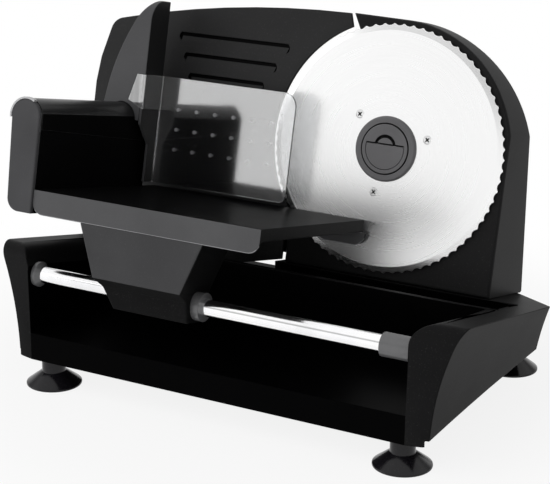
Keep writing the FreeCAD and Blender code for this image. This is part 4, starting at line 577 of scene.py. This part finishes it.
class SLICER_OT_carriage(bpy.types.Operator):
    """Finish the carriage"""
    bl_idname = "slicer.carriage"
    bl_label = "Carriage"

    def execute(self, context):
        finish = context.scene.slicer_finish
        satin = plastic("Carriage plastic", finish.carriage_colour, 0.4, 0.1)
        # The switch rocker's own near-black glossy colour, also used below as painted shade on up-facing and
        # right-facing faces.
        gloss_and_shade = plastic("Gloss black and painted shade", finish.gloss_and_shade_colour, 0.3, 0.002, depth=0.000004, dust=0.02)
        # Painted shade: a darker copy of the carriage plastic for the right-facing faces and the bracket's
        # lower faces.
        shaded = plastic("Carriage side painted shade", (0.008, 0.008, 0.0082, 1), 0.4, 0.03)
        hood = plastic("Hood plastic", finish.hood_colour, 0.3, 0.2, depth=0.000006)
        finish_nodes(gloss_and_shade, "switch_rocker")
        rounded_copy("carriage_cap", satin, 0.0005)
        bracket = rounded_copy("carriage_bracket",
                               plastic("Bracket plastic", finish.bracket_colour, 0.45, 0.05), 0.0005)
        # Painted shade on the bracket's right-facing and lowest faces.
        paint_faces(bracket, shaded,
                    lambda place, normal: normal.x > RIGHT_FACING or height_of(place) < BRACKET_FOOT)
        tray = rounded_copy("carriage_tray", plastic("Apron plastic", finish.tray_colour, 0.4, 0.1), 0.0006)
        # Painted shade on the tray's up-facing top faces.
        paint_faces(tray, gloss_and_shade, lambda place, normal: normal.dot(UPWARD) > UP_FACING)
        # Painted shade on the tray's right-facing faces.
        paint_faces(tray, shaded, lambda place, normal: normal.x > RIGHT_FACING)
        # Painted highlight: a pale shiny material on the apron's down- and forward-facing bottom faces
        # stands in for the light caught along its lower edge.
        lip_highlight = plastic("Lip painted highlight", (0.3, 0.3, 0.31, 1), 0.2, 0.5, dust=0.0)
        paint_faces(tray, lip_highlight, lambda place, normal:
                    LIP_DOWN_FACING[0] < -normal.dot(UPWARD) < LIP_DOWN_FACING[1]
                    and -normal.dot(INWARD) > LIP_FORWARD_FACING)
        wall = rounded_copy("carriage_wall", satin, 0.0005)
        # Painted shade on the wall's right-facing faces.
        paint_faces(wall, gloss_and_shade, lambda place, normal: normal.x > WALL_RIGHT_FACING)
        rounded_copy("switch_body", hood, 0.0004)
        crest = rounded_copy("carriage_hood", hood, 0.0004)
        # Painted shade on the hood's right-facing skirt faces.
        paint_faces(crest, gloss_and_shade, lambda place, normal: normal.x > CREST_RIGHT_FACING)
        # Painted highlight: a pale bar bent over part of the cap's arched rim stands in for the light the
        # rim catches.
        rim_highlight = spun_bar("cap_rim_highlight", TRIM_CENTRE, TRIM_RADII, TRIM_FACES, TRIM_START, TRIM_SWEEP)
        rim_highlight.data.materials.append(plastic("Cap rim painted highlight", (0.5, 0.5, 0.51, 1), 0.15, 0.5, dust=0.0))
        smooth(rim_highlight)
        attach(rim_highlight, body_with("carriage_cap"))
        return {"FINISHED"}


class SLICER_OT_pusher(bpy.types.Operator):
    """Finish the pusher, its clear plate and its spikes"""
    bl_idname = "slicer.pusher"
    bl_label = "Pusher"

    def execute(self, context):
        finish = context.scene.slicer_finish
        satin = plastic("Pusher plastic", finish.carriage_colour, 0.34, 0.2)
        # Painted shade: a darker copy of the pusher plastic for the right-facing faces of the fin and the
        # strip.
        shaded = plastic("Pusher side painted shade", (0.02, 0.02, 0.0205, 1), 0.34, 0.06)
        for node in ("pusher_fin", "pusher_strip"):
            handle = rounded_copy(node, satin, 0.0006)
            paint_faces(handle, shaded, lambda place, normal: normal.x > RIGHT_FACING)
        guard = rounded_copy("pusher_guard", clear_plastic("Clear plastic"), 0.0003)
        paint_faces(guard, clear_plastic("Clear side", 0.0),
                    lambda place, normal: abs(normal.x) > PLATE_END_FACING)
        finish_nodes(plastic("Spike plastic", (0.93, 0.92, 0.95, 1), 0.25, 0.5, dust=0.0), "pusher_spikes")
        return {"FINISHED"}


class SLICER_OT_works(bpy.types.Operator):
    """Finish the motor, the gears and the bearings inside the housing"""
    bl_idname = "slicer.works"
    bl_label = "Motor and gears"

    def execute(self, context):
        finish_nodes(plastic("Gear plastic", (0.7, 0.68, 0.62, 1), 0.45, 0.5), "blade_gear",
                     "motor_fan", "knob_shaft")
        finish_nodes(metal("Motor iron", (0.22, 0.21, 0.2, 1), 0.5), "motor_stator", "motor_armature")
        finish_nodes(metal("Bearing bronze", (0.62, 0.42, 0.2, 1), 0.35), "spindle_bush",
                     "motor_bearing_front", "motor_bearing_rear")
        finish_nodes(metal("Frame metal", (0.6, 0.6, 0.6, 1), 0.4), "gearbox_plate", "motor_bracket")
        return {"FINISHED"}


class SLICER_OT_studio(bpy.types.Operator):
    """Set the floor, the lamps, the surroundings and the camera"""
    bl_idname = "slicer.studio"
    bl_label = "Studio"

    def execute(self, context):
        self.make_floor()
        self.make_world(context)
        self.make_lamp("Left softbox", LAMP_PLACE, LAMP_SIZE, LAMP_POWER)
        self.make_camera(context)
        context.scene.view_settings.view_transform = "Standard"
        return {"FINISHED"}

    def make_floor(self):
        """Lay a pale floor that keeps the object's shadow and runs out to white."""
        bpy.ops.object.select_all(action="DESELECT")
        bpy.ops.mesh.primitive_plane_add(size=FLOOR_SIZE, location=(0, 0, 0))
        floor = bpy.context.active_object
        floor.name = "Studio floor"
        material, tree, shader, coordinates = new_material("Pale floor")
        shader.inputs["Base Color"].default_value = (0.9, 0.9, 0.9, 1)
        shader.inputs["Roughness"].default_value = 0.6
        shader.inputs["Specular IOR Level"].default_value = 0.1
        reach = add_node(tree, "VectorMath", {"operation": "LENGTH"}, i0=coordinates).outputs["Value"]
        far = add_node(tree, "MapRange", {"interpolation_type": "SMOOTHSTEP"}, Value=reach,
                       From_Min=FLOOR_SHADE_REACH[0], From_Max=FLOOR_SHADE_REACH[1],
                       To_Min=FLOOR_WHITE_SHARES[0], To_Max=FLOOR_WHITE_SHARES[1])
        path = add_node(tree, "LightPath")
        seen = math_node(tree, "MAXIMUM", path.outputs["Is Camera Ray"],
                         path.outputs["Is Transmission Ray"])
        seen = math_node(tree, "MAXIMUM", seen, path.outputs["Is Glossy Ray"])
        share = math_node(tree, "MULTIPLY", far.outputs[0], seen)
        white = add_node(tree, "Emission", None, Color=(1, 1, 1, 1), Strength=1.0)
        blend = add_node(tree, "MixShader", None, i0=share, i1=shader.outputs[0], i2=white.outputs[0])
        tree.links.new(blend.outputs[0], tree.nodes["Material Output"].inputs["Surface"])
        floor.data.materials.append(material)

    def make_world(self, context):
        """White walls to the eye, a dim band over them in reflections, soft light from the front left."""
        studio = context.scene.slicer_studio
        world = bpy.data.worlds.new("White studio")
        context.scene.world = world
        world.use_nodes = True
        tree = world.node_tree
        direction = add_node(tree, "TexCoord").outputs["Generated"]
        facing = add_node(tree, "VectorMath", {"operation": "DOT_PRODUCT"}, i0=direction,
                          i1=Vector(FRONT_LIGHT_DIRECTION).normalized()).outputs["Value"]
        bright_side = math_node(tree, "POWER", math_node(tree, "MAXIMUM", facing, 0.0), 2.0)
        soft = math_node(tree, "MULTIPLY_ADD", bright_side, studio.front_light)
        soft.node.inputs[2].default_value = studio.ambient
        height = add_node(tree, "SeparateXYZ", None, i0=direction).outputs["Z"]
        walls = add_node(tree, "ValToRGB", None, Fac=height)
        ramp = walls.color_ramp
        for place, level in DIM_BAND:
            stop = ramp.elements.new(place)
            stop.color = (level, level, level, 1)
        ramp.elements[0].color = (1, 1, 1, 1)
        ramp.elements[-1].position = DIM_BAND_END
        path = add_node(tree, "LightPath")
        seen = math_node(tree, "MAXIMUM", path.outputs["Is Camera Ray"],
                         path.outputs["Is Transmission Ray"])
        mirrored = add_node(tree, "Mix", {"data_type": "FLOAT"}, i0=path.outputs["Is Glossy Ray"], i2=soft,
                            i3=walls.outputs["Color"])
        strength = add_node(tree, "Mix", {"data_type": "FLOAT"}, i0=seen, i2=mirrored.outputs[0], i3=1.0)
        background = tree.nodes["Background"]
        background.inputs["Color"].default_value = (1, 1, 1, 1)
        tree.links.new(strength.outputs[0], background.inputs["Strength"])

    def make_lamp(self, name, place, size, power):
        """Hang a square lamp that faces the blade."""
        bpy.ops.object.light_add(type="AREA", location=place)
        lamp = bpy.context.active_object
        lamp.name = name
        lamp.data.shape = "SQUARE"
        lamp.data.size = size
        lamp.data.energy = power
        aim = BLADE_CENTRE - Vector(place)
        lamp.rotation_euler = aim.to_track_quat("-Z", "Y").to_euler()

    def make_camera(self, context):
        """Stand the camera at the photograph's viewing angle."""
        studio = context.scene.slicer_studio
        turn, rise, roll = studio.azimuth, studio.elevation, studio.roll
        right = Vector((math.cos(turn), math.sin(turn), 0))
        ahead = Vector((-math.sin(turn) * math.cos(rise), math.cos(turn) * math.cos(rise), -math.sin(rise)))
        above = right.cross(ahead)
        tilted_right = right * math.cos(roll) + above * math.sin(roll)
        tilted_above = above * math.cos(roll) - right * math.sin(roll)
        matrix = Matrix((tilted_right, tilted_above, -ahead)).transposed().to_4x4()
        matrix.translation = Vector(studio.place)
        camera_data = bpy.data.cameras.new("Studio camera")
        camera_data.lens = studio.lens
        camera_data.sensor_width = SENSOR_WIDTH
        camera_data.sensor_fit = "HORIZONTAL"
        camera_data.clip_start = 0.01
        camera = bpy.data.objects.new("Studio camera", camera_data)
        camera.matrix_world = matrix
        context.scene.collection.objects.link(camera)
        context.scene.camera = camera


OPERATORS = (SLICER_OT_base, SLICER_OT_rail, SLICER_OT_housing, SLICER_OT_blade, SLICER_OT_carriage,
             SLICER_OT_pusher, SLICER_OT_works, SLICER_OT_studio)


class SLICER_PT_panel(bpy.types.Panel):
    """Lists the slicer's steps and settings"""
    bl_idname = "SLICER_PT_panel"
    bl_label = "Food slicer"
    bl_space_type = "VIEW_3D"
    bl_region_type = "UI"
    bl_category = "Slicer"

    def draw(self, context):
        for operator in OPERATORS:
            self.layout.operator(operator.bl_idname)
        for group in (context.scene.slicer_finish, context.scene.slicer_studio):
            for name in group.__annotations__:
                self.layout.prop(group, name)


CLASSES = (SlicerFinish, SlicerStudio) + OPERATORS + (SLICER_PT_panel,)


def register():
    """Make the classes and the settings known to Blender."""
    for item in CLASSES:
        bpy.utils.register_class(item)
    bpy.types.Scene.slicer_finish = bpy.props.PointerProperty(type=SlicerFinish)
    bpy.types.Scene.slicer_studio = bpy.props.PointerProperty(type=SlicerStudio)


def unregister():
    """Take the classes and the settings out again."""
    del bpy.types.Scene.slicer_studio
    del bpy.types.Scene.slicer_finish
    for item in reversed(CLASSES):
        bpy.utils.unregister_class(item)


def main():
    """Finish the pieces in order and set the studio."""
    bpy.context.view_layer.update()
    register()
    bpy.ops.object.select_all(action="DESELECT")
    bpy.ops.slicer.base()
    bpy.ops.slicer.rail()
    bpy.ops.slicer.housing()
    bpy.ops.slicer.blade()
    bpy.ops.slicer.carriage()
    bpy.ops.slicer.pusher()
    bpy.ops.slicer.works()
    bpy.ops.slicer.studio()


if __name__ == "__main__":
    main()
